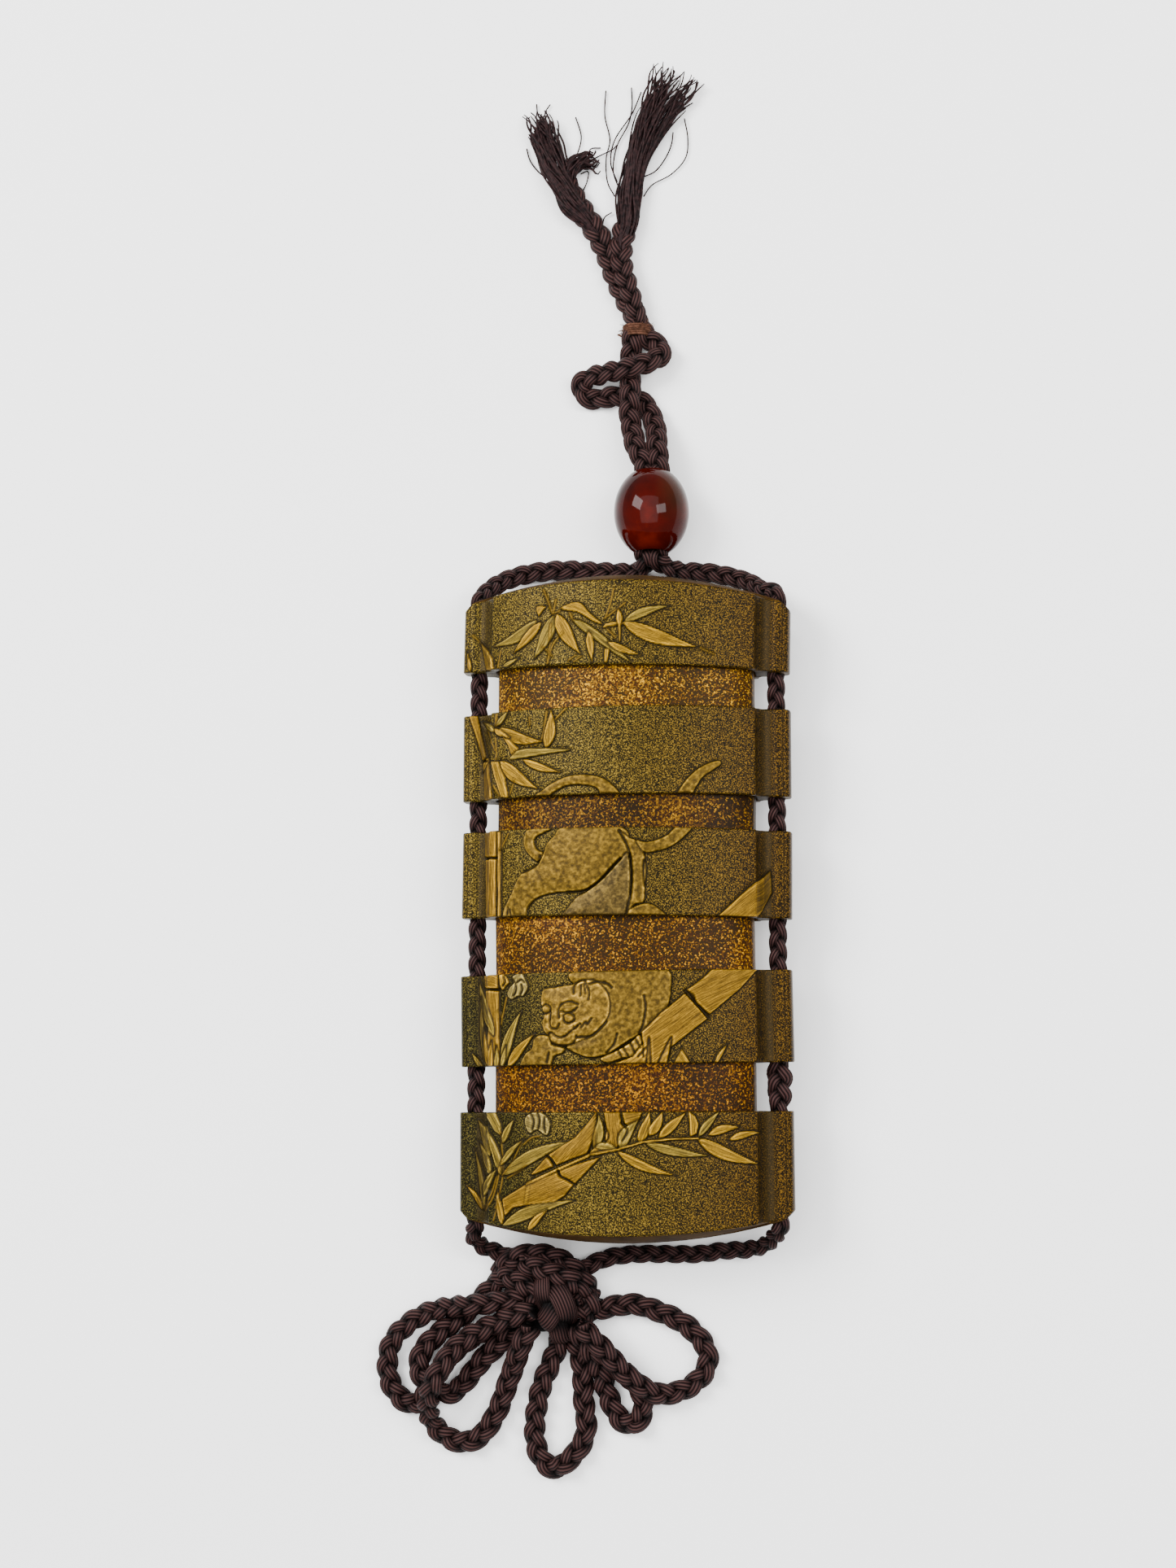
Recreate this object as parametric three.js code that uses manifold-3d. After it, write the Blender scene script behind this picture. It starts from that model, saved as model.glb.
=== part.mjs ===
// An inro: a lacquered case of a lid, three boxes and a bottom box that slide onto
// each other, strung on one silk cord with a round bead and a decorative bow.
// Millimetres. The case lies on its back on z = 0, +Y towards the bead, +X to the right.
import * as THREE from 'three';
import { mergeVertices } from 'three/addons/utils/BufferGeometryUtils.js';
import { ParametricGeometry } from 'three/addons/geometries/ParametricGeometry.js';
import Module from 'manifold-3d';

// Case section.
const caseThickness = 22;
const faceWidth = 48;
const faceArcRadius = 55;
const fluteWidth = 2.9;
const runnerWidth = 3.1;
const runnerThickness = 5.2;
const runnerEdge = 1.8;
const landWidth = 8;
const channelBore = 3.6;
const runnerOuterWall = 0.8;

// Walls and fits.
const shellWall = 1.25;
const edgeWall = 0.25;
const slideClearance = 0.35;
const riserWall = 1.1;
const riserRise = 11;
const socketSpare = 0.5;
const floorThickness = 1.5;
const endWall = 1.6;

// Ends of the case.
const cornerCut = 1.8;
const cornerRise = 1.4;
const endArch = 2.5;
const lidDome = 2.6;
const baseDome = 1.8;

// Heights along the case, the gaps between the parts and how askew each lies.
const lidHeight = 11.5;
const tier1Height = 15.8;
const tier2Height = 15.6;
const tier3Height = 16.3;
const baseHeight = 17.5;
const lidGap = 7.5;
const tier1Gap = 6.0;
const tier2Gap = 9.8;
const tier3Gap = 8.35;
const lidSkew = -1.2;
const tier2Skew = -0.5;
const tier3Skew = 0.9;
const baseSkew = 0.4;

// Raised lacquer.
const leafRise = 0.35;
const culmRise = 0.4;
const bodyRise = 0.5;
const headRise = 0.75;

// Cord, bead and bow.
const cordDiameter = 2.5;
const bowCordDiameter = 3;
const beadDiameter = 14;
const beadLength = 15.3;
const beadBore = 5.6;
const beadLip = 3.9;
const beadPosition = [4.2, 73.4];
const beadFlat = 0.08;
const bindingWidth = 5.2;
const bindingLength = 1.9;
const bindingHeight = 3.4;
const bindingPosition = [0.9, 109.8];
const knotPosition = [-16.5, -70.2];
const knotWidth = 15;
const knotLength = 14.6;
const knotHeight = 9.2;
const knotSink = 0.9;
const knotRest = 0.15;
const knotRounds = 20;
const faceGap = 0.3;
const fringeThickness = 2.4;
const surfaceTolerance = 0.04;

// Derived.
const faceHalf = faceWidth / 2;
const fluteFoot = faceHalf + fluteWidth;
const caseHalf = fluteFoot + runnerWidth;
const channelX = caseHalf - runnerOuterWall - channelBore / 2;
const faceSag = (x) => faceArcRadius - Math.sqrt(faceArcRadius ** 2 - x ** 2);
const faceEdge = caseThickness / 2 - faceSag(faceHalf);
const runnerHalf = runnerThickness / 2;
const midHeight = caseThickness / 2 - faceSag(landWidth / 2);
const socketDepth = riserRise + socketSpare;
const socketHalf = faceHalf - edgeWall;
const endRise = cornerRise + endArch;
const faceSteps = 10;

// The picture, in millimetres from the middle of each band.
// leaves: stalk x, y, tip x, y, width, bend. culms and sprigs have straight edges; the rest are rounded.
const PICTURE = {
  lid: {
    leaves: [
      [-15, 2.6, -23.7, -1.5, 2, 0.9], [-14.2, 2.3, -19.7, -3.3, 1.6, 0.2],
      [-11.7, 3.4, -15.5, -4.5, 2.4, 0.2], [-11.3, 3.6, -6.6, -4, 2.5, -0.4],
      [-5.3, 0.1, -4.5, -5.4, 1.4, 0], [-1.7, -1.8, 4.4, -4.2, 1.2, -0.2],
      [1, 1.9, 9.1, 4.9, 1.6, 0.5], [0.9, 1.7, 14.4, -2.5, 2.6, -0.6],
      [-28.3, -5.8, -29.1, -1.8, 0.8, 0], [-21.5, -5.5, -18.4, -4, 0.8, 0],
    ],
    sprigs: [
      [
        [-15.3, 5.1], [-14.4, 5.3], [-13.3, 5.1], [-14.1, 4.2], [-14.7, 3.3], [-15.1, 4.1],
      ],
      [
        [-2.3, -2.9], [-1.4, -3.2], [-1.5, -4.3], [-1.8, -5.5], [-2.3, -5.5], [-2.4, -4.1],
      ],
      [
        [-2.9, 0.7], [-2.3, 1.6], [-0.9, 1.9], [1, 2], [1.1, 1.3], [-1.4, 1.1],
      ],
      [
        [-26.6, -0.2], [-25, -1.6], [-23.7, -3.7], [-23.3, -5.9], [-25.3, -5.5], [-25.8, -2.9],
      ],
    ],
    curled: [
      [
        [-10.7, 4.6], [-9.4, 5.3], [-7.8, 5.6], [-6.5, 5.2], [-5.2, 3.6], [-2.7, 1.5], [-4.4, 1.9],
        [-5.8, 2.9], [-7.5, 3.8], [-9.1, 4.1],
      ],
      [
        [-8.2, 2.4], [-6.4, 2.1], [-4, 0.6], [-1.6, -1.4], [0.2, -3.2], [2.4, -5.4], [0.4, -4.4],
        [-1.9, -2.9], [-4, -1.4], [-6, 0.1], [-7.4, 1.3],
      ],
      [
        [0, 4.3], [0.9, 2.8], [0.7, 1.8], [0.6, 1.4], [0.6, -1.6], [0.3, -1.6], [0, 1.4], [-0.2, 2],
        [-0.3, 2.9],
      ],
    ],
  },
  tier1: {
    leaves: [
      [-24.8, -0.1, -26, -2.9, 0.9, 0], [-22.3, 4.9, -13.5, 1.9, 2.1, -0.8],
      [-23.5, 4.9, -20, 3, 1, -0.2], [-23.3, 4.3, -26.2, 6.8, 1, -0.2],
      [-22.9, 5.3, -20.4, 8.1, 0.9, 0], [-13.2, 0.6, -12.2, 7.8, 2, -0.4],
      [-22, -1.1, -14.6, -6.6, 2.3, -0.6], [-17.6, -1.2, -10.3, -3.9, 1.4, -0.3],
    ],
    sprigs: [
      [
        [-24, -1], [-22.4, -1.2], [-21, -4], [-20.3, -8], [-21.8, -7.7], [-23, -4.4],
      ],
      [
        [-21.6, 3.2], [-20.2, 2.6], [-18.5, 1.1], [-18.5, 0.2], [-19.8, -0.5], [-20.5, 1.6],
      ],
    ],
    curled: [
      [
        [-20.1, -0.9], [-19.1, 0.1], [-17.8, 0.7], [-13.7, 0.7], [-8.5, 0.2], [-12.4, -0.3],
        [-16.6, -0.8],
      ],
    ],
    culms: [
      [
        [-28.6, 7.8], [-27.1, 7.8], [-25.1, 0], [-26, -0.6],
      ],
      [
        [-25.8, -0.8], [-24.7, -0.6], [-23.5, -8.2], [-25.4, -7.9],
      ],
    ],
    body: [
      [
        [-15.5, -8.2], [-13.7, -6.8], [-11.6, -5.6], [-8.7, -4.5], [-5.5, -4.5], [-3.1, -5],
        [-1.1, -6.2], [0.5, -8.3], [-2.8, -8.3], [-3.5, -7.1], [-4.7, -6.5], [-7.1, -6.1],
        [-9.6, -6.4], [-11.6, -7.3], [-13.1, -8.3],
      ],
      [
        [10.5, -8.4], [11.5, -6.3], [13.4, -4.1], [15.7, -2.6], [17.7, -2], [18.1, -2.6], [16.8, -3.6],
        [14.9, -5], [13.9, -6.6], [12.8, -8.2],
      ],
    ],
  },
  tier2: {
    culms: [
      [
        [-25.4, 8.1], [-22.7, 7.7], [-22.7, 2.9], [-25.2, 3],
      ],
      [
        [-25.1, 2.8], [-22.7, 2.6], [-22.6, -8], [-24.6, -7.8],
      ],
      [
        [-22.5, 7.6], [-21.9, 7.5], [-21.7, -8], [-22.2, -8],
      ],
      [
        [17.1, -8.2], [21.2, -4.1], [26.4, 0.8], [26.6, -3.3], [24.1, -7.8],
      ],
    ],
    body: [
      [
        [-16.4, 7.7], [-12.2, 7.7], [-13.7, 7], [-14.9, 6.4], [-15.3, 5.4], [-14.8, 4.1], [-13.5, 3.3],
        [-14.5, 1.9], [-16.2, 3.1], [-17.1, 4.5], [-17.3, 6.1],
      ],
      [
        [-9.6, 7.9], [-11.5, 6.4], [-13, 4.8], [-13.6, 2.9], [-14.8, 1.1], [-17.4, -0.1],
        [-18.6, -1.6], [-19.2, -3.2], [-20.2, -5.1], [-21, -6.7], [-20.7, -8], [-17, -8.1],
        [-16.4, -6.4], [-14.8, -4.7], [-11.9, -3.8], [-9.1, -3.6], [-6.3, -3.5], [-4.7, -2.7],
        [-2.7, -1.2], [-1.2, 0.5], [0.4, 2.2], [1.9, 2.7], [2.3, 5], [0.4, 7.8],
      ],
      [
        [-5.5, -3.7], [-2.6, -1.5], [0.4, 1.8], [1.8, 3.1], [2.2, 0.3], [2.2, -3.9], [1.5, -8.3],
        [-9.4, -8.5], [-8.6, -6.1], [-7, -4.4],
      ],
      [
        [0.2, 7.2], [1.9, 6], [3.8, 5.1], [4.7, 3.1], [5, 0.3], [4.9, -2.7], [4.7, -5.5], [3.1, -5.9],
        [1.8, -7.5], [2.4, -3.9], [2.6, -0.8], [2.3, 2.7], [1.3, 5.4],
      ],
      [
        [1.7, -8.4], [2.4, -6.8], [3.9, -6], [5.4, -5.8], [7, -6.4], [8.5, -8.3],
      ],
      [
        [3.3, 5.5], [4.6, 5.1], [6.5, 5.4], [8.6, 6.3], [10.3, 7.8], [12.9, 7.8], [11.1, 5.6],
        [9, 4.2], [6.9, 3.5], [4.7, 3.4],
      ],
    ],
  },
  tier3: {
    leaves: [
      [-21.4, -8.5, -17.6, 1.6, 1.8, 0.6], [-23.5, -4.1, -25.7, 5.6, 1.6, 0.3],
      [-24.1, -8.6, -25.5, 1.1, 1.4, 0.2], [-24.9, -8.6, -26.8, -5.9, 0.9, 0.2],
      [-20.3, -8.5, -15.1, -2.5, 1.6, 0.4], [-21.6, -8.5, -20.5, -4.6, 0.8, 0],
      [16.7, -8.5, 19, -4.9, 0.7, 0.2],
    ],
    sprigs: [
      [
        [9.4, -8.5], [11.1, -5.7], [12.7, -8.6],
      ],
    ],
    curled: [
      [
        [-21.8, 7.3], [-20.7, 7.8], [-19.8, 6.9], [-17.5, 7.9], [-16.3, 6.2], [-16, 4.2], [-17.6, 3.9],
        [-19.2, 3.1], [-19.9, 4.6], [-21.3, 5.3],
      ],
    ],
    culms: [
      [
        [-25, 8.3], [-22.1, 8.1], [-22.1, 5.6], [-24.7, 5.8],
      ],
      [
        [-24.7, 5.5], [-21.9, 5.2], [-21.8, -8.7], [-23.8, -8.7],
      ],
      [
        [12.1, 4.6], [14.9, 6.6], [16.6, 8.3], [24.5, 8.4], [21.2, 4.7], [16, 0.3], [14.1, 2],
      ],
      [
        [11.8, 4], [7.7, 0.6], [4.2, -2.8], [4.4, -4.7], [2.6, -6.9], [-1.7, -8.4], [-2.8, -9.1],
        [8.2, -9.3], [9.2, -5.4], [15.6, -0.5], [13.7, 1.9],
      ],
    ],
    body: [
      [
        [-8.5, 7.8], [-1.4, 8.8], [8.5, 8.4], [9.4, 4.8], [8.6, 1.3], [7.3, -0.6], [4.2, -2.8],
        [2.3, -4], [-0.1, -5.4], [-2.1, -6.5], [-4.8, -7], [-7.1, -6.4], [-9.2, -5], [-5.5, -3],
        [-7, 0.9], [-7, 4.7],
      ],
      [
        [-17.7, -8.8], [-16.9, -6.3], [-15.6, -5.1], [-15.2, -3.5], [-13.9, -2.8], [-12.3, -3.3],
        [-11.9, -4.6], [-9.6, -5.3], [-10, -6.1], [-11.5, -6.7], [-12.8, -8.9],
      ],
    ],
    head: [
      [
        [-13.5, 4.4], [-12.9, 5.2], [-11.3, 5.4], [-9.3, 5.8], [-7.4, 5.9], [-5.7, 6.5], [-3.4, 6.1],
        [-1.5, 3.8], [-1.5, 0.4], [-3.9, -2.6], [-7.1, -4.2], [-9.5, -4.9], [-11.6, -4.5], [-12.5, -3],
        [-13.3, -1.9], [-13.4, -0.4], [-13.1, 0.6], [-13.6, 2.6],
      ],
      [
        [-3, -7.1], [-0.1, -5.8], [2.2, -4.5], [3.7, -3.2], [4.2, -4.1], [3.8, -5.9], [2.4, -7],
        [0.7, -7.1], [-1.7, -7.9],
      ],
    ],
  },
  base: {
    leaves: [
      [-23.6, 1, -26.5, 7.6, 2.2, -0.5], [-21.4, -2.3, -24.6, 6.4, 1.4, -0.4],
      [-21.1, 3.3, -18.8, 7.6, 1.2, 0.2], [-23.5, -2.3, -26.2, 3.6, 1.4, -0.3],
      [-25, -8.4, -27, 2.5, 1.1, -0.3], [-25, -6, -22.1, -1.1, 1.4, 0.4],
      [-25.3, -8.5, -28.6, -4.1, 1, -0.3], [-21.2, -11, -22.1, -4.8, 1.2, 0],
      [-21.1, -11.1, -7.5, -6.5, 2.1, 0.7], [-21.2, -2.3, -7.4, 3.9, 2.2, 0.8],
      [-21.4, -0.6, -17, 4.1, 1, 0.3], [-16.2, -11.8, -12.6, -8.2, 1.2, 0.2],
      [-4.1, 2.2, -3.2, 8.6, 1.7, -0.6], [0.5, 2.2, 3.8, 7.3, 2, 0.6], [3.8, 3.4, 5.7, 9, 1.8, -0.2],
      [5.6, 4.6, 8, 9, 1.7, -0.2], [7.2, 4.2, 12, 8.7, 1.6, 0], [14, 4.4, 17.7, 8.9, 1.3, 0.2],
      [15.7, 4.7, 21.2, 6, 1.4, 0.4], [19.2, 3.9, 24.5, 5.1, 1.2, 0.3],
      [13.7, 4.1, 24.3, -0.4, 2.2, -0.6], [4.8, 3.4, 15.9, 1.1, 1.6, -0.4],
      [0, 1.9, 10.1, -2.2, 1.6, -0.6], [-5.2, 1.4, 0.1, 2.3, 1.4, 0.3],
      [-3.8, 2.8, 0.2, 2.3, 1.2, 0.3],
    ],
    sprigs: [
      [
        [-24.9, 9.1], [-22.5, 9.1], [-21.4, 6.7], [-21.2, 4.6], [-22.6, 5.4],
      ],
      [
        [12.3, 9], [13.5, 8], [14.1, 6.6], [13.7, 5], [12.6, 4.4],
      ],
      [
        [-5.4, 1.1], [0.1, 2.1], [4.6, 3.4], [9.9, 3.9], [14, 3.9], [14, 4.3], [9.9, 4.3], [4.6, 3.8],
        [0, 2.4], [-5.4, 1.4],
      ],
      [
        [-16.5, -4], [-10, -1.2], [-4.8, 1], [-5, 1.5], [-10.2, -0.7], [-16.7, -3.6],
      ],
    ],
    curled: [
      [
        [-16.5, 8], [-15, 8.8], [-13.5, 8.7], [-12, 6.9], [-12.7, 4.7], [-14.5, 5.7], [-15.9, 5.1],
        [-16.7, 6.5],
      ],
    ],
    culms: [
      [
        [-21.1, -6.4], [-16.2, -3.5], [-10.9, -1.7], [-9.7, -2.7], [-7.8, -3.8], [-9.4, -5.7],
        [-11.2, -6.7], [-15.8, -7.3], [-19.1, -7.9], [-20.6, -9.5],
      ],
      [
        [-15.8, -2.3], [-12.6, 1.1], [-11.4, -0.6], [-14.5, -1.9],
      ],
      [
        [-12.4, 1.3], [-7.6, 4.4], [-5.4, 6.7], [-3.6, 9], [-3.8, 5], [-5.4, 1.6], [-8.1, 0.7],
        [-10.9, -0.4],
      ],
      [
        [-10.5, -1.3], [-7, -0.2], [-2.9, 1], [-7.6, -3.7], [-9.9, -2.4],
      ],
      [
        [-2.4, 9], [0.5, 9], [0.7, 6.8], [1.8, 5.5], [0.9, 3.8], [-0.1, 2.5], [-2.1, 3.5], [-1.9, 6.2],
      ],
      [
        [0.8, 9], [4.5, 9], [3.7, 7], [2.4, 5.9], [1.3, 6.9],
      ],
    ],
  },
};

const wasm = await Module();
wasm.setup();

// A closed geometry as a solid, its walls facing out.
function solid(geometry) {
  const bare = geometry.index ? geometry.clone() : geometry.clone();
  bare.deleteAttribute('uv');
  bare.deleteAttribute('normal');
  const merged = mergeVertices(bare, 1e-4);
  const place = merged.getAttribute('position');
  const faces = [];
  let volume = 0;
  const a = new THREE.Vector3();
  const b = new THREE.Vector3();
  const c = new THREE.Vector3();
  for (let i = 0; i < merged.index.count; i += 3) {
    const [p, q, r] = [0, 1, 2].map((k) => merged.index.getX(i + k));
    if (p === q || q === r || r === p) continue;
    a.fromBufferAttribute(place, p);
    b.fromBufferAttribute(place, q);
    c.fromBufferAttribute(place, r);
    volume += a.dot(b.cross(c));
    faces.push([p, q, r]);
  }
  const triVerts = new Uint32Array(faces.map(([p, q, r]) => (volume < 0 ? [p, r, q] : [p, q, r])).flat());
  return new wasm.Manifold(new wasm.Mesh({
    numProp: 3,
    vertProperties: new Float32Array(place.array),
    triVerts,
  }));
}

function geometryOf(body) {
  const mesh = body.getMesh();
  const geometry = new THREE.BufferGeometry();
  const points = new Float32Array((mesh.vertProperties.length / mesh.numProp) * 3);
  for (let i = 0; i < points.length / 3; i += 1) {
    for (let k = 0; k < 3; k += 1) points[i * 3 + k] = mesh.vertProperties[i * mesh.numProp + k];
  }
  geometry.setAttribute('position', new THREE.BufferAttribute(points, 3));
  geometry.setIndex(new THREE.BufferAttribute(new Uint32Array(mesh.triVerts), 1));
  geometry.computeVertexNormals();
  return geometry;
}

function joined(solids) {
  return solids.slice(1).reduce((sum, item) => sum.add(item), solids[0]);
}

// Outline of the case's section as [x, z] about its middle, anticlockwise.
// rise lifts the front half of it, for the raised lacquer.
function caseOutline(rise = 0) {
  const right = [
    [caseHalf, runnerEdge / 2],
    [caseHalf - 0.13 * runnerWidth, 0.66 * runnerHalf],
    [caseHalf - 0.36 * runnerWidth, 0.92 * runnerHalf],
    [caseHalf - 0.64 * runnerWidth, 1.02 * runnerHalf],
  ];
  const drop = faceEdge - runnerHalf;
  for (let i = 0; i <= 4; i += 1) {
    const turn = (i / 4) * (Math.PI / 2);
    right.push([fluteFoot - fluteWidth * Math.sin(turn), faceEdge - drop * Math.cos(turn)]);
  }
  const front = [...right];
  for (let i = 1; i < faceSteps; i += 1) {
    const x = faceHalf - (i / faceSteps) * faceWidth;
    front.push([x, caseThickness / 2 - faceSag(x)]);
  }
  front.push(...right.map(([x, z]) => [-x, z]).reverse());
  const landHalf = landWidth / 2;
  const behind = [
    ...front.filter(([x]) => x > landHalf), [landHalf, midHeight], [-landHalf, midHeight],
    ...front.filter(([x]) => x < -landHalf),
  ];
  const back = behind.map(([x, z]) => [-x, -z]);
  return [...front.map(([x, z]) => [x, z + rise]), ...back];
}

// Lens-shaped section of a socket, a riser or a pocket, inset from the face.
function lensOutline(half, inset) {
  const points = [];
  const count = 24;
  for (let i = 0; i < count; i += 1) {
    const turn = (i / count) * Math.PI * 2;
    const share = Math.cos(turn);
    const x = half * Math.sign(share) * Math.abs(share) ** 0.7;
    const round = (1 - Math.min(1, Math.abs(x) / half) ** 8) ** (1 / 5);
    const height = (caseThickness / 2 - faceSag(Math.min(Math.abs(x), faceHalf)) - inset) * round;
    points.push([x, Math.sign(Math.sin(turn)) * height * (Math.abs(Math.sin(turn)) < 1e-9 ? 0 : 1)]);
  }
  return points;
}

const socketOutline = lensOutline(socketHalf, shellWall);
const riserOutline = lensOutline(socketHalf - slideClearance, shellWall + slideClearance);
const pocketInset = slideClearance + riserWall;
const pocketOutline = lensOutline(socketHalf - pocketInset, shellWall + pocketInset);

// A section run straight along the case from y0 to y1.
function run(outline, y0, y1) {
  const shape = new THREE.Shape(outline.map(([x, z]) => new THREE.Vector2(x, z)));
  const geometry = new THREE.ExtrudeGeometry(shape, { depth: y1 - y0, bevelEnabled: false });
  geometry.rotateX(Math.PI / 2);
  geometry.translate(0, y1, midHeight);
  return solid(geometry);
}

// A section run from a flat end at y0 to an arched and domed end above y1.
// side -1 mirrors it, for the bottom of the case.
function runToArch(outline, y0, y1, dome, side) {
  const rings = [[0, 0], [1, 0], [1, 1], [0.86, 1], [0.62, 1], [0.32, 1], [0, 1]];
  const arch = (x) => {
    const across = Math.abs(x);
    const corner = cornerRise * Math.min(1, Math.max(0, (caseHalf - across) / cornerCut));
    const bow = endArch * (1 - Math.min(1, across / (caseHalf - cornerCut)) ** 2);
    return corner + bow;
  };
  const at = (u, v, target) => {
    const [x, z] = outline[Math.round(u * outline.length) % outline.length];
    const [scale, far] = rings[Math.round(v * (rings.length - 1))];
    const reach = y1 + side * (arch(x * scale) + dome * (1 - scale ** 2));
    target.set(x * scale, far ? reach : y0, midHeight + z * scale);
  };
  return solid(new ParametricGeometry(at, outline.length, rings.length - 1));
}

function rod(x, y0, y1, diameter) {
  const geometry = new THREE.CylinderGeometry(diameter / 2, diameter / 2, y1 - y0, 16);
  geometry.translate(x, (y0 + y1) / 2, midHeight);
  return solid(geometry);
}

// A leaf from its stalk to its tip, widest nearer the stalk and bent to one side.
function leafShape([x0, y0, x1, y1, width, bend]) {
  const along = new THREE.Vector2(x1 - x0, y1 - y0);
  const across = new THREE.Vector2(-along.y, along.x).normalize();
  const sides = [[], []];
  const cuts = 4;
  for (let i = 0; i <= cuts; i += 1) {
    const t = i / cuts;
    const half = Math.max(0.05, (width / 2) * Math.sin(Math.PI * t ** 0.75) ** 0.8);
    const middle = new THREE.Vector2(x0, y0).addScaledVector(along, t);
    middle.addScaledVector(across, bend * Math.sin(Math.PI * t));
    sides[0].push(middle.clone().addScaledVector(across, -half));
    sides[1].unshift(middle.clone().addScaledVector(across, half));
  }
  return new THREE.Shape([...sides[0], ...sides[1]]);
}

// A rounded form through its outline points, and a straight-edged one.
function roundShape(points) {
  const corners = points.map(([x, y]) => new THREE.Vector3(x, y, 0));
  const curve = new THREE.CatmullRomCurve3(corners, true, 'catmullrom', 0.5);
  const along = curve.getPoints(Math.round(points.length * 1.5)).slice(0, -1);
  return new THREE.Shape(along.map((p) => new THREE.Vector2(p.x, p.y)));
}

function flatShape(points) {
  return new THREE.Shape(points.map(([x, y]) => new THREE.Vector2(x, y)));
}

function prism(shape, middleY) {
  const geometry = new THREE.ExtrudeGeometry(shape, { depth: caseThickness, bevelEnabled: false });
  geometry.translate(0, middleY, midHeight + 0.2 * caseThickness * 0.1);
  return solid(geometry);
}

// The picture on a band: each group of shapes is cut from the band's own form, lifted by its rise.
function picture(forms, middleY, bandAt) {
  const groups = [
    [leafRise, (forms.leaves ?? []).map(leafShape)],
    [leafRise, (forms.sprigs ?? []).map(flatShape)],
    [leafRise, (forms.curled ?? []).map(roundShape)],
    [culmRise, (forms.culms ?? []).map(flatShape)],
    [bodyRise, (forms.body ?? []).map(roundShape)],
    [headRise, (forms.head ?? []).map(roundShape)],
  ];
  const raised = [];
  for (const [rise, shapes] of groups) {
    if (shapes.length === 0) continue;
    const prisms = joined(shapes.map((shape) => prism(shape, middleY)));
    raised.push(bandAt(rise).intersect(prisms));
  }
  return raised;
}

const lacquer = new THREE.MeshStandardMaterial({ color: 0x8a7430, roughness: 0.45, metalness: 0.55 });
const silk = new THREE.MeshStandardMaterial({ color: 0x4b3434, roughness: 0.75, metalness: 0 });
const carnelian = new THREE.MeshStandardMaterial({ color: 0x8e2418, roughness: 0.12, metalness: 0 });
const thread = new THREE.MeshStandardMaterial({ color: 0x96553c, roughness: 0.8, metalness: 0 });

const inro = new THREE.Group();
inro.name = 'inro';

function addMesh(name, geometry, material) {
  const mesh = new THREE.Mesh(geometry, material);
  mesh.name = name;
  inro.add(mesh);
  return mesh;
}

// The case is laid out from its bottom end up, centred on the origin.
const caseLength = baseDome + endRise + baseHeight + tier3Gap + tier3Height + tier2Gap + tier2Height
  + tier1Gap + tier1Height + lidGap + lidHeight + endRise + lidDome;
const baseBottom = -caseLength / 2 + baseDome + endRise;
const tier3Bottom = baseBottom + baseHeight + tier3Gap;
const tier2Bottom = tier3Bottom + tier3Height + tier2Gap;
const tier1Bottom = tier2Bottom + tier2Height + tier1Gap;
const lidBottom = tier1Bottom + tier1Height + lidGap;

// Each part is modelled about its band's middle and laid down there, a little askew.
function layDown(name, body, bottom, height, skew) {
  const mesh = addMesh(name, geometryOf(body.simplify(surfaceTolerance)), lacquer);
  mesh.position.y = bottom + height / 2;
  mesh.rotation.z = THREE.MathUtils.degToRad(skew);
}

function channels(y0, y1) {
  return [-channelX, channelX].map((x) => rod(x, y0, y1, channelBore));
}

function tier(name, bottom, height, skew, forms) {
  const low = -height / 2;
  const high = height / 2;
  const shell = (rise) => run(caseOutline(rise), low, high);
  const band = joined([shell(0), ...picture(forms, 0, shell)]);
  const riser = run(riserOutline, high - 1, high + riserRise);
  const socket = run(socketOutline, low - 1, low + socketDepth);
  const pocket = run(pocketOutline, low + socketDepth + floorThickness, high + riserRise + 1);
  const body = band.add(riser).subtract(joined([socket, pocket, ...channels(low - 1, high + 1)]));
  layDown(name, body, bottom, height, skew);
}

function lid() {
  const low = -lidHeight / 2;
  const high = lidHeight / 2;
  const shell = (rise) => runToArch(caseOutline(rise), low, high, lidDome, 1);
  const band = joined([shell(0), ...picture(PICTURE.lid, 0, shell)]);
  const socket = run(socketOutline, low - 1, low + socketDepth);
  const under = runToArch(pocketOutline, low - 0.5, high - endWall, lidDome, 1);
  const body = band.subtract(joined([socket, under, ...channels(low - 1, high + endRise + 1)]));
  layDown('lid', body, lidBottom, lidHeight, lidSkew);
}

function baseBox() {
  const low = -baseHeight / 2;
  const high = baseHeight / 2;
  const shell = (rise) => runToArch(caseOutline(rise), high, low, baseDome, -1);
  const band = joined([shell(0), ...picture(PICTURE.base, 0, shell)]);
  const riser = run(riserOutline, high - 1, high + riserRise);
  const mouth = run(pocketOutline, high - 2, high + riserRise + 1);
  const pocket = runToArch(pocketOutline, high - 1, low + endWall, baseDome, -1);
  const body = band.add(riser).subtract(joined([mouth, pocket, ...channels(low - endRise - 1, high + 1)]));
  layDown('bottom_box', body, baseBottom, baseHeight, baseSkew);
}

lid();
tier('tier_1', tier1Bottom, tier1Height, 0, PICTURE.tier1);
tier('tier_2', tier2Bottom, tier2Height, tier2Skew, PICTURE.tier2);
tier('tier_3', tier3Bottom, tier3Height, tier3Skew, PICTURE.tier3);
baseBox();

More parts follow.
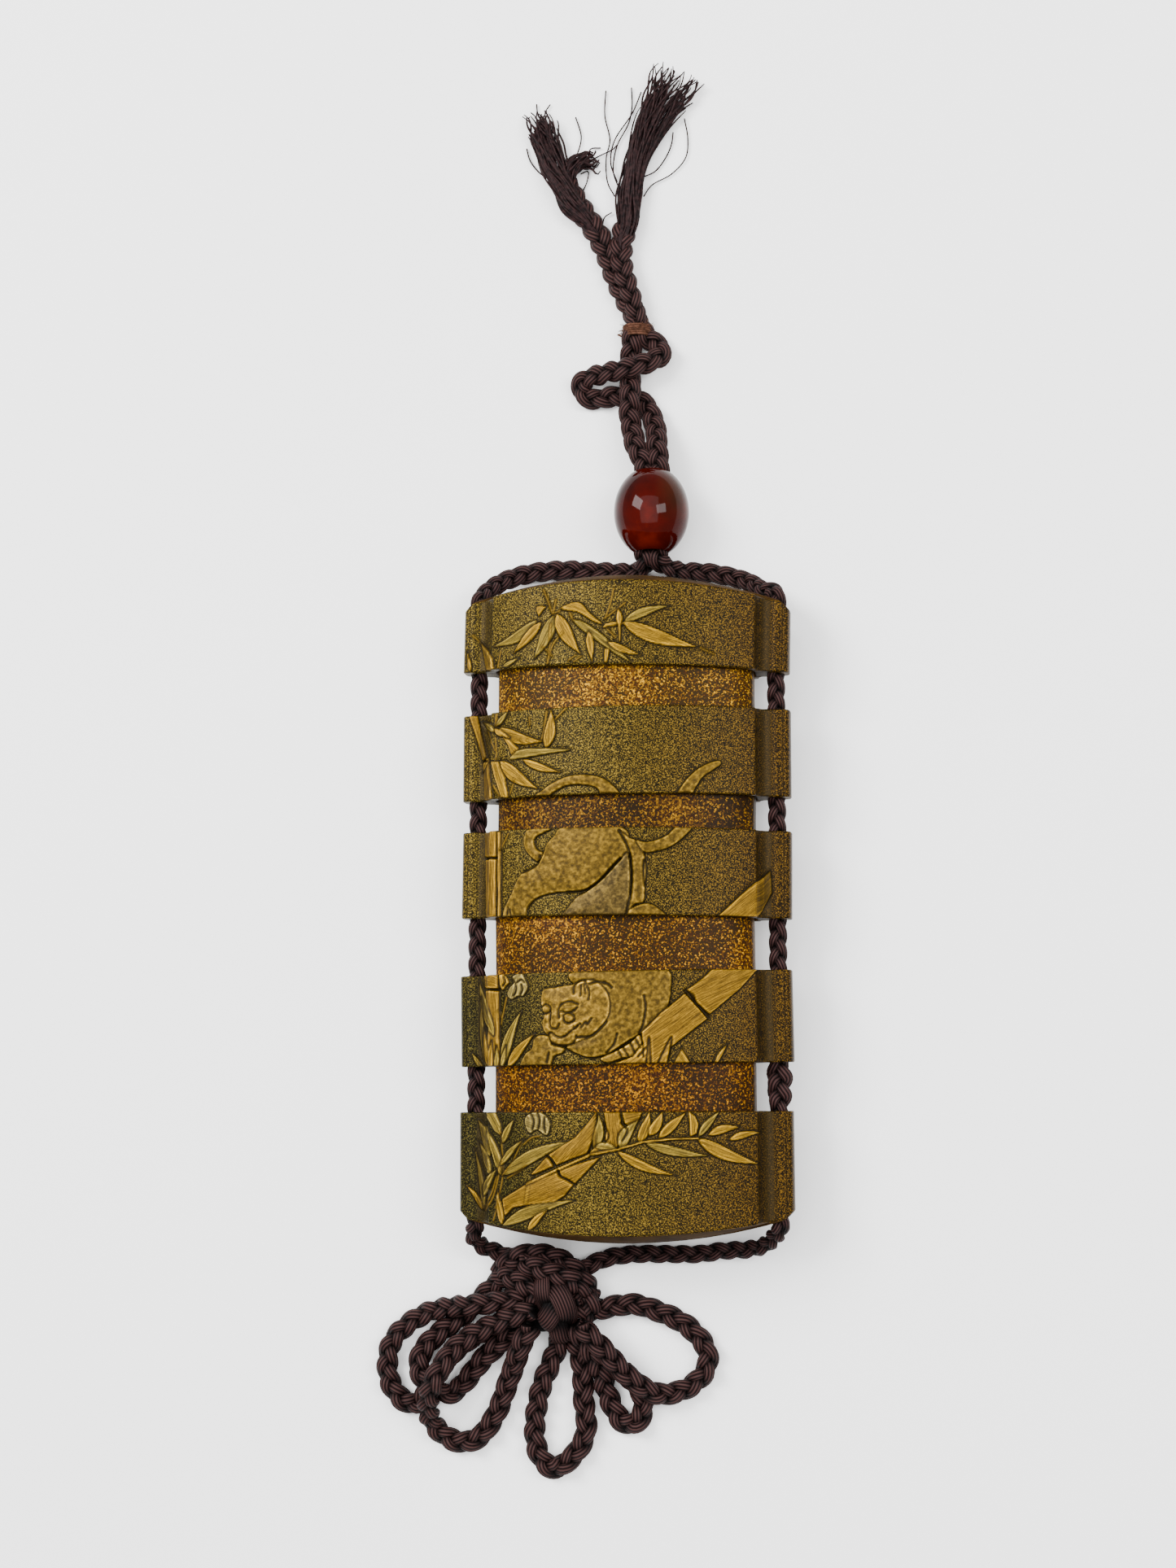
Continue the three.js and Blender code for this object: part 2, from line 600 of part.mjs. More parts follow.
// Bead: a polished barrel on its side, with a small flat where it rests.
const beadHeight = beadDiameter / 2 - beadFlat;
const beadProfile = [new THREE.Vector2(beadBore / 2, -beadLength / 2)];
for (let i = 0; i <= 10; i += 1) {
  const t = -1 + (2 * i) / 10;
  const round = Math.sqrt(Math.max(0, 1 - Math.abs(t) ** 2.3));
  const radius = beadLip + (beadDiameter / 2 - beadLip) * round;
  beadProfile.push(new THREE.Vector2(radius, (t * beadLength) / 2));
}
beadProfile.push(new THREE.Vector2(beadBore / 2, beadLength / 2));
beadProfile.push(new THREE.Vector2(beadBore / 2, -beadLength / 2));
const beadTurned = new THREE.LatheGeometry(beadProfile, 20);
beadTurned.translate(beadPosition[0], beadPosition[1], beadHeight);
const underBead = new THREE.BoxGeometry(beadDiameter, beadLength, beadDiameter);
underBead.translate(beadPosition[0], beadPosition[1], -beadDiameter / 2);
addMesh('bead', geometryOf(solid(beadTurned).subtract(solid(underBead))), carnelian);

// Whipping thread where both cord ends meet.
function pillow(width, length, height, x, y, z, rounds) {
  const geometry = new THREE.SphereGeometry(1, rounds, rounds / 2);
  geometry.rotateX(Math.PI / 2);
  geometry.scale(width / 2, length / 2, height / 2);
  geometry.translate(x, y, z);
  return solid(geometry);
}
const bindingTop = bindingHeight / 2 + faceGap;
const bindingShape = new THREE.CylinderGeometry(1, 1, bindingLength, 16);
bindingShape.scale(bindingWidth / 2, 1, bindingHeight / 2);
bindingShape.translate(bindingPosition[0], bindingPosition[1], bindingTop);
addMesh('cord_binding', geometryOf(solid(bindingShape)), thread);
const bindingClear = new THREE.BoxGeometry(3 * bindingWidth, bindingLength + 2 * faceGap, 3 * bindingHeight);
bindingClear.translate(bindingPosition[0], bindingPosition[1], bindingTop);
const aroundBinding = solid(bindingClear);

// Bow knot: one lumpy pad, and the room kept around it.
const knotMiddle = knotHeight / 2 - knotSink;
const groundShape = new THREE.BoxGeometry(2 * knotWidth, 2 * knotLength, knotHeight);
groundShape.translate(knotPosition[0], knotPosition[1], knotRest - knotHeight / 2);
const ground = solid(groundShape);
const knotBody = pillow(knotWidth, knotLength, knotHeight,
  knotPosition[0], knotPosition[1], knotMiddle, knotRounds);
addMesh('bow_knot', geometryOf(knotBody.subtract(ground)), silk);
const aroundKnot = pillow(knotWidth + 2 * faceGap, knotLength + 2 * faceGap, knotHeight + 2 * faceGap,
  knotPosition[0], knotPosition[1], knotMiddle, knotRounds);

// Cord lengths: points on the cord's middle line, chosen by its lie.
function cordSolid(points, diameter, stride) {
  const curve = new THREE.CatmullRomCurve3(points.map((p) => new THREE.Vector3(...p)), false, 'centripetal');
  const section = new THREE.Shape();
  for (let i = 0; i < 8; i += 1) {
    const turn = ((i + 0.5) / 8) * Math.PI * 2;
    const corner = [(diameter / 2) * Math.cos(turn), (diameter / 2) * Math.sin(turn)];
    if (i === 0) section.moveTo(...corner);
    else section.lineTo(...corner);
  }
  const steps = Math.max(3, Math.round(curve.getLength() / stride));
  return solid(new THREE.ExtrudeGeometry(section, { steps, extrudePath: curve, bevelEnabled: false }));
}

const beadIn = [beadPosition[0], beadPosition[1], beadHeight];
const beadOffset = cordDiameter / 2 + 0.12;
const throughBead = (side) => [beadLength / 2 + 1.4, 0, -beadLength / 2 - 1.4]
  .map((dy) => [beadIn[0] + side * beadOffset, beadIn[1] + dy, beadIn[2]]);
const mouthRun = 1.5;
const throughCase = (side) => [
  lidBottom + lidHeight + cornerRise + mouthRun, lidBottom, tier1Bottom, tier2Bottom, tier3Bottom,
  baseBottom, baseBottom - cornerRise - mouthRun,
].map((y) => [side * channelX, y, midHeight]);

// Points as [x, y, z] in millimetres.
const leftUpper = [
  [-0.1, 108, 2.4], [-0.4, 105.6, 1.9], [-0.7, 103.2, 1.5], [-0.4, 100.3, 2.6], [-0.1, 96.8, 4.7],
  [-0.3, 92.8, 4.4], [0.4, 89.2, 4.8], [1.1, 86.3, 6.2],
];
const leftOver = [
  [2.3, 63.3, 4], [-1, 63.2, 2.2], [-6.1, 63.6, 1.6], [-13.5, 64.1, 1.6], [-19.6, 63.5, 2.4],
  [-24.1, 61.5, 5.2], [-26.5, 58.9, 8.6],
];
const leftLower = [
  [-28.3, -59.4, 8.2], [-27.2, -61.4, 5.2], [-24.3, -62.8, 3], [-21.6, -63.9, 2.6],
  [-18.8, -65.1, 3.4],
];
const rightUpper = [
  [3.2, 108.2, 2.2], [4.9, 106.8, 2.4], [5.6, 105, 3], [4.5, 103.6, 4], [0.5, 102, 5.3],
  [-3.7, 101.5, 4.4], [-7.1, 101.1, 3.4], [-9.2, 100.6, 2.7], [-9.9, 99.4, 2.2], [-9.4, 97.9, 1.8],
  [-7.4, 97.1, 1.5], [-4.4, 97.5, 1.4], [-2.1, 97.4, 1.4], [0.4, 97.1, 1.4], [2.3, 95.5, 1.7],
  [3.9, 92.4, 2.8], [4.8, 89.1, 4.4], [5.1, 86.1, 6.2],
];
const rightOver = [
  [8.1, 63, 4.4], [10.7, 62.9, 2.4], [13.7, 62.8, 1.8], [18.1, 61.9, 1.9], [22.1, 60.2, 4],
  [25.4, 57.5, 8.6],
];
const rightLower = [
  [26.3, -58.8, 8.2], [24.3, -60.6, 5.4], [20.9, -61.6, 3], [16.1, -62, 1.9], [12.2, -62.6, 1.6],
  [6.8, -62.7, 1.6], [0.1, -62.8, 1.6], [-4.3, -63.4, 2], [-7.3, -64.5, 3], [-9.7, -65.9, 4],
];
const endRoute = [
  [1, 111.5, 2.2], [-0.8, 115.5, 1.9], [-3.1, 120.5, 1.8], [-4.5, 124.4, 1.8], [-6.6, 129.1, 1.7],
  [-10.1, 134.8, 1.6], [-12.5, 138.9, 1.6], [-13.1, 140.2, 1.6],
];
const loopRoute1 = [
  [-18.9, -70.6, 4.9], [-26, -71.6, 5.3], [-29.6, -72, 5.3], [-33.5, -72.5, 3.6],
  [-37.7, -73.6, 2], [-41.7, -75.9, 1.9], [-44.6, -79.1, 1.9], [-45.4, -83.4, 1.9],
  [-44.5, -87, 1.9], [-42, -89.7, 1.8], [-39.6, -90, 1.7], [-38, -87.9, 1.7], [-36, -84.4, 1.7],
  [-33.2, -80.9, 1.7], [-29.6, -78, 1.7], [-25.7, -76.1, 1.7],
];
const loopRoute2 = [
  [-23, -66.6, 3.2], [-25.9, -68.8, 1.7], [-29.6, -72.6, 1.6], [-32.6, -75, 1.6],
  [-35.6, -77.2, 1.8], [-38.1, -79.7, 2.8], [-38.9, -82.1, 4.4], [-38.2, -84.6, 5.5],
  [-35.9, -86.6, 5.6], [-33.9, -87.9, 4.6], [-32, -87.2, 2.8], [-29.9, -84.8, 2.1],
  [-27.4, -81.7, 2], [-24.3, -78.9, 2.4], [-21.2, -76.2, 3.2],
];
const loopRoute3 = [
  [-17.5, -72.3, 7], [-21, -73.7, 6.6], [-24.9, -75.3, 5.4], [-28.8, -77.2, 5.3], [-32, -79.7, 6],
  [-33.9, -82.7, 8.6], [-35.5, -86, 9.3], [-36.8, -90.1, 6], [-36.5, -93.5, 2.8],
  [-34.2, -95.8, 1.9], [-31.3, -96.7, 1.9], [-28.3, -95.8, 1.9], [-26, -93.1, 1.9],
  [-24.3, -89.8, 1.9], [-23.1, -86.5, 2.2], [-21.7, -83.2, 3.4], [-20.4, -80.3, 5.4],
  [-19.2, -77.7, 6.6], [-17.8, -75.5, 7],
];
const loopRoute4 = [
  [-12.8, -76.3, 3.4], [-13.9, -79.5, 2], [-15.2, -82.7, 1.9], [-16.6, -86, 1.9],
  [-17.4, -89.2, 1.9], [-17.9, -92.5, 1.9], [-17.9, -95.7, 1.9], [-17.2, -98.4, 1.9],
  [-15.9, -100.2, 1.9], [-14.1, -100.9, 1.9], [-12.2, -99.8, 1.9], [-10.3, -97.9, 1.9],
  [-8.9, -95.5, 1.9], [-8.5, -92.7, 1.9], [-8.9, -90, 1.9], [-9.1, -87.3, 1.9], [-9.2, -84.4, 1.9],
  [-9.6, -81.7, 1.8], [-10.2, -79.3, 1.7], [-11.2, -77.3, 1.8],
];
const loopRoute5 = [
  [-10.4, -75.5, 4.9], [-8.6, -77.8, 5], [-6.9, -80.4, 4.8], [-5.6, -83.8, 3.2],
  [-4.8, -87.2, 1.9], [-3.5, -90.3, 1.9], [-1.8, -92.5, 1.9], [0.1, -92.8, 1.9], [1.6, -91.1, 1.8],
  [1.8, -88.8, 1.7], [1, -86.6, 1.7], [-0.5, -84.9, 1.7], [-2, -83.2, 1.7],
];
const loopRoute6 = [
  [-10.4, -72.1, 5.2], [-5.9, -72.5, 2.6], [-2.7, -71.9, 1.9], [0.6, -71.7, 1.9],
  [3.8, -72.6, 1.9], [6.8, -73.7, 1.9], [9.6, -75.2, 1.9], [11.9, -77.3, 1.9], [13.4, -79.7, 1.9],
  [13.4, -82.3, 1.9], [12, -84.6, 1.9], [9.5, -86.4, 2], [6.3, -87.3, 2.8], [3.5, -86.8, 4.4],
  [0.9, -85, 5.6], [-1.7, -82.7, 6.2], [-3.7, -80.2, 7.2], [-6, -77.7, 8], [-8.5, -75.2, 8],
];
const leftFringe = [
  [-15.3, 141.9], [-18.4, 146.3], [-20.3, 151.7], [-18.1, 156.8], [-13.9, 156.9], [-12.3, 150.4],
  [-6.9, 146.3], [-6.3, 143.9], [-11.3, 141.5],
];
const rightFringe = [
  [-2.8, 124.6], [-3.4, 132.1], [-2.3, 138.8], [-0.1, 146.5], [3.1, 153.2], [6.1, 160.9],
  [14.9, 161.3], [14.3, 157.1], [9.5, 151.2], [5.4, 144.6], [2.9, 137.7], [0.9, 131.4],
  [-0.1, 124.5],
];

const cordLeft = [...leftUpper, ...throughBead(-1), ...leftOver, ...throughCase(-1), ...leftLower];
const cordRight = [...rightUpper, ...throughBead(1), ...rightOver, ...throughCase(1), ...rightLower];
const cordStride = 5.2;
const loopStride = 5.6;
const clear = aroundBinding.add(aroundKnot);
addMesh('cord_left', geometryOf(cordSolid(cordLeft, cordDiameter, cordStride).subtract(clear)), silk);
addMesh('cord_right', geometryOf(cordSolid(cordRight, cordDiameter, cordStride).subtract(clear)), silk);
const cordEnd = cordSolid(endRoute, cordDiameter, cordStride).subtract(aroundBinding);
addMesh('cord_end', geometryOf(cordEnd), silk);
[loopRoute1, loopRoute2, loopRoute3, loopRoute4, loopRoute5, loopRoute6].forEach((route, i) => {
  const loop = cordSolid(route, bowCordDiameter, loopStride).subtract(aroundKnot);
  addMesh(`bow_loop_${i + 1}`, geometryOf(loop), silk);
});

// Frayed ends: flat fans of loose silk, each a closed pad of its outer shape.
function fringe(points) {
  const geometry = new THREE.ExtrudeGeometry(flatShape(points), { depth: fringeThickness, bevelEnabled: false });
  geometry.translate(0, 0, faceGap);
  return solid(geometry);
}
addMesh('cord_fringe_left', geometryOf(fringe(leftFringe)), silk);
addMesh('cord_fringe_right', geometryOf(fringe(rightFringe)), silk);

export default inro;
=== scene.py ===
"""Looks of an inro: a tiered lacquer case strung on a silk cord with a bead and a bow.

The case, bead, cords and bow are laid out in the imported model's own frame. Lengths are in
millimetres until a mesh is made, and metres after that. Section and cord points repeat the
sizes of the solid model.
"""
from __future__ import annotations

import logging
import math
from dataclasses import dataclass
from enum import Enum, IntEnum
from typing import Callable, Sequence

import bpy
import numpy as np
from mathutils import Matrix, Vector

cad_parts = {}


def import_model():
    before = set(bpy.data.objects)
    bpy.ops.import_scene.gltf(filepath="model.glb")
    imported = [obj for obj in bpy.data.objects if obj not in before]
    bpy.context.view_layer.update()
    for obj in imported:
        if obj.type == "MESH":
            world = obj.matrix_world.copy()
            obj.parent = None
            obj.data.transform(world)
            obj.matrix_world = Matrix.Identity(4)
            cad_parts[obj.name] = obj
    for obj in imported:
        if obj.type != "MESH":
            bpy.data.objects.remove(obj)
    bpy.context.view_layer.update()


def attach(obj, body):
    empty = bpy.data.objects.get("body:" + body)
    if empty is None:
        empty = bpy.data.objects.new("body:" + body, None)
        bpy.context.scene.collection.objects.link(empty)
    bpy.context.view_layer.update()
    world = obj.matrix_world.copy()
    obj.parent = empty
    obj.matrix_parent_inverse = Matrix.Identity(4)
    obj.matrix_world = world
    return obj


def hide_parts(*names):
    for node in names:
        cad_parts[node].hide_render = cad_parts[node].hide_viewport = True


LOG = logging.getLogger("inro")
MM = 0.001
ROOT = "root"

Colour = tuple[float, float, float]
Route = Sequence[Sequence[float]]
Array = np.ndarray
Material = bpy.types.Material
Socket = bpy.types.NodeSocket
Edge = Callable[[Array], Array]


# Sizes.

@dataclass(frozen=True)
class Section:
    """Sizes of the case's section and ends, in millimetres."""

    thickness: float = 22.0
    face_half: float = 24.0
    face_radius: float = 55.0
    flute_width: float = 2.9
    runner_width: float = 3.1
    edge_half: float = 0.9
    land_half: float = 4.0
    bore: float = 3.6
    outer_wall: float = 0.8
    shell_wall: float = 1.25
    edge_wall: float = 0.25
    clearance: float = 0.35
    riser_wall: float = 1.1
    riser_rise: float = 11.0
    socket_depth: float = 11.5
    floor: float = 1.5
    end_wall: float = 1.6
    corner_cut: float = 1.8
    corner_rise: float = 1.4
    end_arch: float = 2.5
    lid_dome: float = 2.6
    base_dome: float = 1.8

    @property
    def flute_foot(self) -> float:
        """Where the flute ends and the cord runner starts."""
        return self.face_half + self.flute_width

    @property
    def half(self) -> float:
        """Half the width over the runners."""
        return self.flute_foot + self.runner_width

    @property
    def channel_x(self) -> float:
        """How far out the middle of a cord channel lies."""
        return self.half - self.outer_wall - self.bore / 2

    @property
    def middle(self) -> float:
        """Height of the section's middle over the floor."""
        return self.thickness / 2 - self.sag(self.land_half)

    def sag(self, x: float) -> float:
        """How far the face has fallen away at x."""
        return self.face_radius - math.sqrt(self.face_radius ** 2 - x * x)

    def face(self, x: float) -> float:
        """Height of the face over the section's middle at x."""
        return self.thickness / 2 - self.sag(x)


CASE = Section()


class Part(Enum):
    """Which kind of part a band belongs to."""

    LID = "lid"
    TIER = "tier"
    BOTTOM = "bottom"


@dataclass(frozen=True)
class Band:
    """One part of the case: its lower edge, height and how askew it lies, in degrees."""

    name: str
    part: Part
    bottom: float
    height: float
    skew: float

    @property
    def middle(self) -> float:
        """Where the band's middle lies along the case."""
        return self.bottom + self.height / 2


def lay_out_bands() -> dict[str, Band]:
    """Stacks the parts along the case from the bottom box up, centred on the origin.

    Returns:
        The bands by name. The stack's rows give height, gap above and skew.
    """
    rise = CASE.corner_rise + CASE.end_arch
    stack = [
        ("bottom_box", Part.BOTTOM, 17.5, 8.35, 0.4),
        ("tier_3", Part.TIER, 16.3, 9.8, 0.9),
        ("tier_2", Part.TIER, 15.6, 6.0, -0.5),
        ("tier_1", Part.TIER, 15.8, 7.5, 0.0),
        ("lid", Part.LID, 11.5, 0.0, -1.2),
    ]
    length = CASE.base_dome + 2 * rise + CASE.lid_dome + sum(row[2] + row[3] for row in stack)
    place = -length / 2 + CASE.base_dome + rise
    bands = {}
    for name, part, height, gap, skew in stack:
        bands[name] = Band(name, part, place, height, skew)
        place += height + gap
    return bands


BANDS = lay_out_bands()


# The picture.

class Tone(Enum):
    """Colours of the raised lacquer, linear."""

    GOLD = (0.160, 0.088, 0.005)
    SILVER = (0.112, 0.075, 0.010)
    CULM = (0.120, 0.064, 0.004)
    FUR = (0.086, 0.050, 0.005)
    HEAD = (0.115, 0.066, 0.007)
    CHEST = (0.060, 0.038, 0.008)
    FLOWER = (0.100, 0.072, 0.018)


LEAF_TONES = (Tone.GOLD, Tone.SILVER)
FUR_TONES = (Tone.FUR, Tone.HEAD, Tone.CHEST)
# How far each tone stands up, and its dome as a rise and the reach over which it grows.
RISE = {
    Tone.GOLD: 0.35, Tone.SILVER: 0.32, Tone.CULM: 0.40, Tone.FUR: 0.50,
    Tone.HEAD: 0.75, Tone.CHEST: 0.45, Tone.FLOWER: 0.35,
}
DOME = {
    Tone.GOLD: (0.14, 0.5), Tone.SILVER: (0.12, 0.5), Tone.CULM: (0.25, 0.9), Tone.FUR: (0.40, 1.8),
    Tone.HEAD: (0.45, 1.8), Tone.CHEST: (0.45, 1.6), Tone.FLOWER: (0.16, 0.5),
}


class Kind(Enum):
    """How a form changes the surface."""

    RAISED = 1
    GROOVE = 2
    STALK = 3
    SWELL = 4


@dataclass
class Form:
    """One stroke or raised shape of the picture, in millimetres from its band's middle."""

    kind: Kind
    points: Array
    tone: Tone = Tone.GOLD
    size: float = 0.0


def rounded_outline(points: Route, cuts: int = 6, closed: bool = True) -> Array:
    """A smooth line through the points.

    Args:
        points: The points, [x, y] each.
        cuts: How many steps each run is cut into.
        closed: Whether the last point joins the first.

    Returns:
        The line's points.
    """
    p = np.asarray(points, float)
    n = len(p)
    t = np.linspace(0, 1, cuts, endpoint=False)[:, None]
    out = []
    for i in range(n if closed else n - 1):
        if closed:
            a, b, c, d = (p[(i + k - 1) % n] for k in range(4))
        else:
            a, b, c, d = p[max(i - 1, 0)], p[i], p[i + 1], p[min(i + 2, n - 1)]
        out.append(0.5 * (2 * b + (c - a) * t + (2 * a - 5 * b + 4 * c - d) * t ** 2
                          + (3 * b - a - 3 * c + d) * t ** 3))
    if not closed:
        out.append(p[-1:])
    return np.concatenate(out)


def leaf(x0: float, y0: float, x1: float, y1: float, width: float, bend: float, tone: Tone) -> Form:
    """A leaf, widest nearer its stalk and bent to one side.

    Args:
        x0, y0: Where its stalk is.
        x1, y1: Where its tip is.
        width: Its greatest width.
        bend: How far its middle is bent aside.
        tone: Its colour.

    Returns:
        The leaf as a raised form.
    """
    start, along = np.array([x0, y0]), np.array([x1 - x0, y1 - y0])
    across = np.array([-along[1], along[0]]) / np.hypot(*along)
    t = np.linspace(0, 1, 15)[:, None]
    half = np.maximum(0.03, width * 0.52 * np.abs(np.sin(np.pi * t ** 0.70)) ** 1.1)
    middle = start + along * t + across * bend * np.sin(np.pi * t)
    return Form(Kind.RAISED, np.concatenate([middle - across * half, (middle + across * half)[::-1]]), tone)


def rounded(tone: Tone, points: Route) -> Form:
    """A raised form with a smooth outline."""
    return Form(Kind.RAISED, rounded_outline(points), tone)


def straight(tone: Tone, points: Route) -> Form:
    """A raised form with straight edges."""
    return Form(Kind.RAISED, np.asarray(points, float), tone)


def groove(width: float, points: Route) -> Form:
    """A cut line."""
    return Form(Kind.GROOVE, rounded_outline(points, 5, False), size=width)


def stalk(width: float, points: Route) -> Form:
    """A thin raised line."""
    return Form(Kind.STALK, rounded_outline(points, 5, False), size=width)


def swell(rise: float, points: Route) -> Form:
    """A soft swelling on top of what is there."""
    return Form(Kind.SWELL, rounded_outline(points), size=rise)


GOLD, SILVER, CULM, FUR = Tone.GOLD, Tone.SILVER, Tone.CULM, Tone.FUR
HEAD, CHEST, FLOWER = Tone.HEAD, Tone.CHEST, Tone.FLOWER

LID_PICTURE: list[Form] = [
    leaf(-15.02, 2.62, -23.65, -1.53, 2, 0.88, SILVER), leaf(-14.18, 2.33, -19.73, -3.3, 1.6, 0.16, GOLD),
    leaf(-11.7, 3.4, -15.47, -4.54, 2.4, 0.24, SILVER), leaf(-11.3, 3.58, -6.63, -3.95, 2.48, -0.4, GOLD),
    straight(GOLD, [(-15.26, 5.12), (-14.42, 5.27), (-13.28, 5.08), (-14.1, 4.25), (-14.71, 3.32),
        (-15.1, 4.11)]),
    rounded(GOLD, [(-10.66, 4.58), (-9.36, 5.28), (-7.82, 5.62), (-6.52, 5.18), (-5.19, 3.63),
        (-2.75, 1.51), (-4.35, 1.94), (-5.82, 2.85), (-7.46, 3.78), (-9.13, 4.12)]),
    rounded(SILVER, [(-8.23, 2.37), (-6.44, 2.07), (-4, 0.58), (-1.57, -1.44), (0.24, -3.19),
        (2.45, -5.4), (0.39, -4.38), (-1.93, -2.86), (-3.96, -1.4), (-5.99, 0.07), (-7.44, 1.31)]),
    leaf(-5.27, 0.14, -4.5, -5.43, 1.36, 0, GOLD),
    straight(GOLD, [(-2.33, -2.85), (-1.37, -3.18), (-1.51, -4.33), (-1.8, -5.51), (-2.27, -5.5),
        (-2.38, -4.12)]),
    leaf(-1.72, -1.75, 4.37, -4.21, 1.2, -0.24, GOLD),
    straight(GOLD, [(-2.89, 0.72), (-2.27, 1.58), (-0.85, 1.88), (1.04, 1.95), (1.05, 1.32),
        (-1.43, 1.1)]),
    rounded(GOLD, [(0.05, 4.26), (0.86, 2.78), (0.73, 1.79), (0.58, 1.4), (0.56, -1.57),
        (0.29, -1.57), (0.03, 1.4), (-0.22, 2), (-0.28, 2.91)]),
    leaf(1.04, 1.87, 9.06, 4.85, 1.6, 0.48, SILVER), leaf(0.89, 1.71, 14.39, -2.52, 2.64, -0.56, GOLD),
    straight(GOLD, [(-26.63, -0.16), (-25.04, -1.64), (-23.68, -3.66), (-23.26, -5.91),
        (-25.26, -5.45), (-25.82, -2.93)]),
    leaf(-28.35, -5.76, -29.12, -1.78, 0.8, 0, GOLD), leaf(-21.55, -5.49, -18.42, -4.04, 0.8, 0, SILVER),
    stalk(0.2, [(-13.99, 8.24), (-12.89, 5.98), (-12.21, 3.74)]),
    stalk(0.2, [(-11.53, 6.3), (-12, 3.73)]), stalk(0.16, [(-13.64, 7.42), (-12.57, 4.76)]),
    stalk(0.24, [(-0.9, 7.96), (-1.51, 4.99), (-2.37, 2.54)]),
    stalk(0.2, [(1.24, 5.36), (-0.5, 3.98), (-2.37, 2.54)]),
    stalk(0.24, [(-10.06, 0.05), (-11.86, -1.86), (-12.81, -5.39)]),
    stalk(0.24, [(-12.29, 1.75), (-12.49, -1.83), (-12.89, -5.39)]),
    stalk(0.16, [(-13.81, -2.16), (-12.02, -4.04)]), stalk(0.16, [(-8.91, -4.95), (-7.52, -4.01)]),
    stalk(0.16, [(-7.89, -5.19), (-6.5, -4.23)]), stalk(0.2, [(-2.01, 0.71), (-0.39, -0.97)]),
    stalk(0.2, [(-22.64, -5.96), (-22.08, -2.4)]),
    stalk(0.24, [(-12, 3.73), (-10.98, 4.08), (-10.58, 4.62)]),
    stalk(0.32, [(-8.92, 3.79), (-8.23, 2.29)]), stalk(0.2, [(-28.18, 1.15), (-26.5, -0.41)]),
    stalk(0.12, [(14.32, -2.49), (16.99, -3.55)]),
]
TIER_1_PICTURE: list[Form] = [
    straight(CULM, [(-28.64, 7.83), (-27.09, 7.8), (-25.08, -0.02), (-25.97, -0.61)]),
    straight(CULM, [(-25.81, -0.77), (-24.67, -0.63), (-23.46, -8.23), (-25.43, -7.92)]),
    leaf(-24.84, -0.07, -25.96, -2.86, 0.88, 0, GOLD),
    straight(GOLD, [(-23.96, -1.02), (-22.37, -1.15), (-21.04, -4.04), (-20.32, -7.97),
        (-21.8, -7.71), (-23.05, -4.37)]),
    leaf(-22.33, 4.91, -13.48, 1.89, 2.08, -0.8, GOLD),
    leaf(-23.47, 4.93, -19.96, 2.96, 1.04, -0.16, GOLD),
    leaf(-23.29, 4.27, -26.19, 6.81, 1.04, -0.16, SILVER),
    leaf(-22.86, 5.27, -20.43, 8.1, 0.88, 0, SILVER), leaf(-13.19, 0.61, -12.22, 7.75, 2, -0.4, GOLD),
    straight(GOLD, [(-21.61, 3.25), (-20.22, 2.58), (-18.49, 1.1), (-18.48, 0.23), (-19.77, -0.48),
        (-20.47, 1.56)]),
    rounded(SILVER, [(-20.11, -0.93), (-19.08, 0.11), (-17.8, 0.74), (-13.68, 0.68), (-8.52, 0.15),
        (-12.44, -0.33), (-16.61, -0.77)]),
    leaf(-22.02, -1.1, -14.57, -6.64, 2.32, -0.56, GOLD),
    leaf(-17.62, -1.18, -10.29, -3.86, 1.36, -0.32, GOLD),
    rounded(FUR, [(-15.48, -8.17), (-13.65, -6.85), (-11.6, -5.57), (-8.75, -4.55), (-5.54, -4.47),
        (-3.07, -4.97), (-1.11, -6.18), (0.46, -8.31), (-2.83, -8.25), (-3.47, -7.14), (-4.74, -6.48),
        (-7.13, -6.14), (-9.55, -6.36), (-11.59, -7.34), (-13.15, -8.29)]),
    rounded(FUR, [(10.45, -8.36), (11.52, -6.25), (13.42, -4.08), (15.69, -2.6), (17.65, -2.01),
        (18.1, -2.62), (16.82, -3.63), (14.93, -5.03), (13.87, -6.61), (12.8, -8.18)]),
    stalk(0.24, [(-23.11, 3.3), (-22.87, 0.48), (-23.16, -1.09)]),
    stalk(0.2, [(-24.96, 5.01), (-23.18, 0.91)]),
    stalk(0.32, [(-13.09, 7.33), (-13.9, 2.63), (-15.36, 1.33)]),
    stalk(0.28, [(-9.4, 7.84), (-11.64, 5.66)]), stalk(0.16, [(-16.44, 6.55), (-16.3, 4.96)]),
    stalk(0.2, [(-19.14, -4.56), (-20.19, -7.46)]), stalk(0.32, [(-23.48, -5.45), (-21.93, -7.74)]),
    stalk(0.4, [(-22.92, 7.48), (-23.03, 5.29)]), groove(0.24, [(-25.93, -0.61), (-24.59, -0.71)]),
    stalk(0.16, [(-16.63, 2.4), (-15.99, 1.09)]), stalk(0.16, [(-17.9, 2.49), (-17.13, 1.25)]),
]
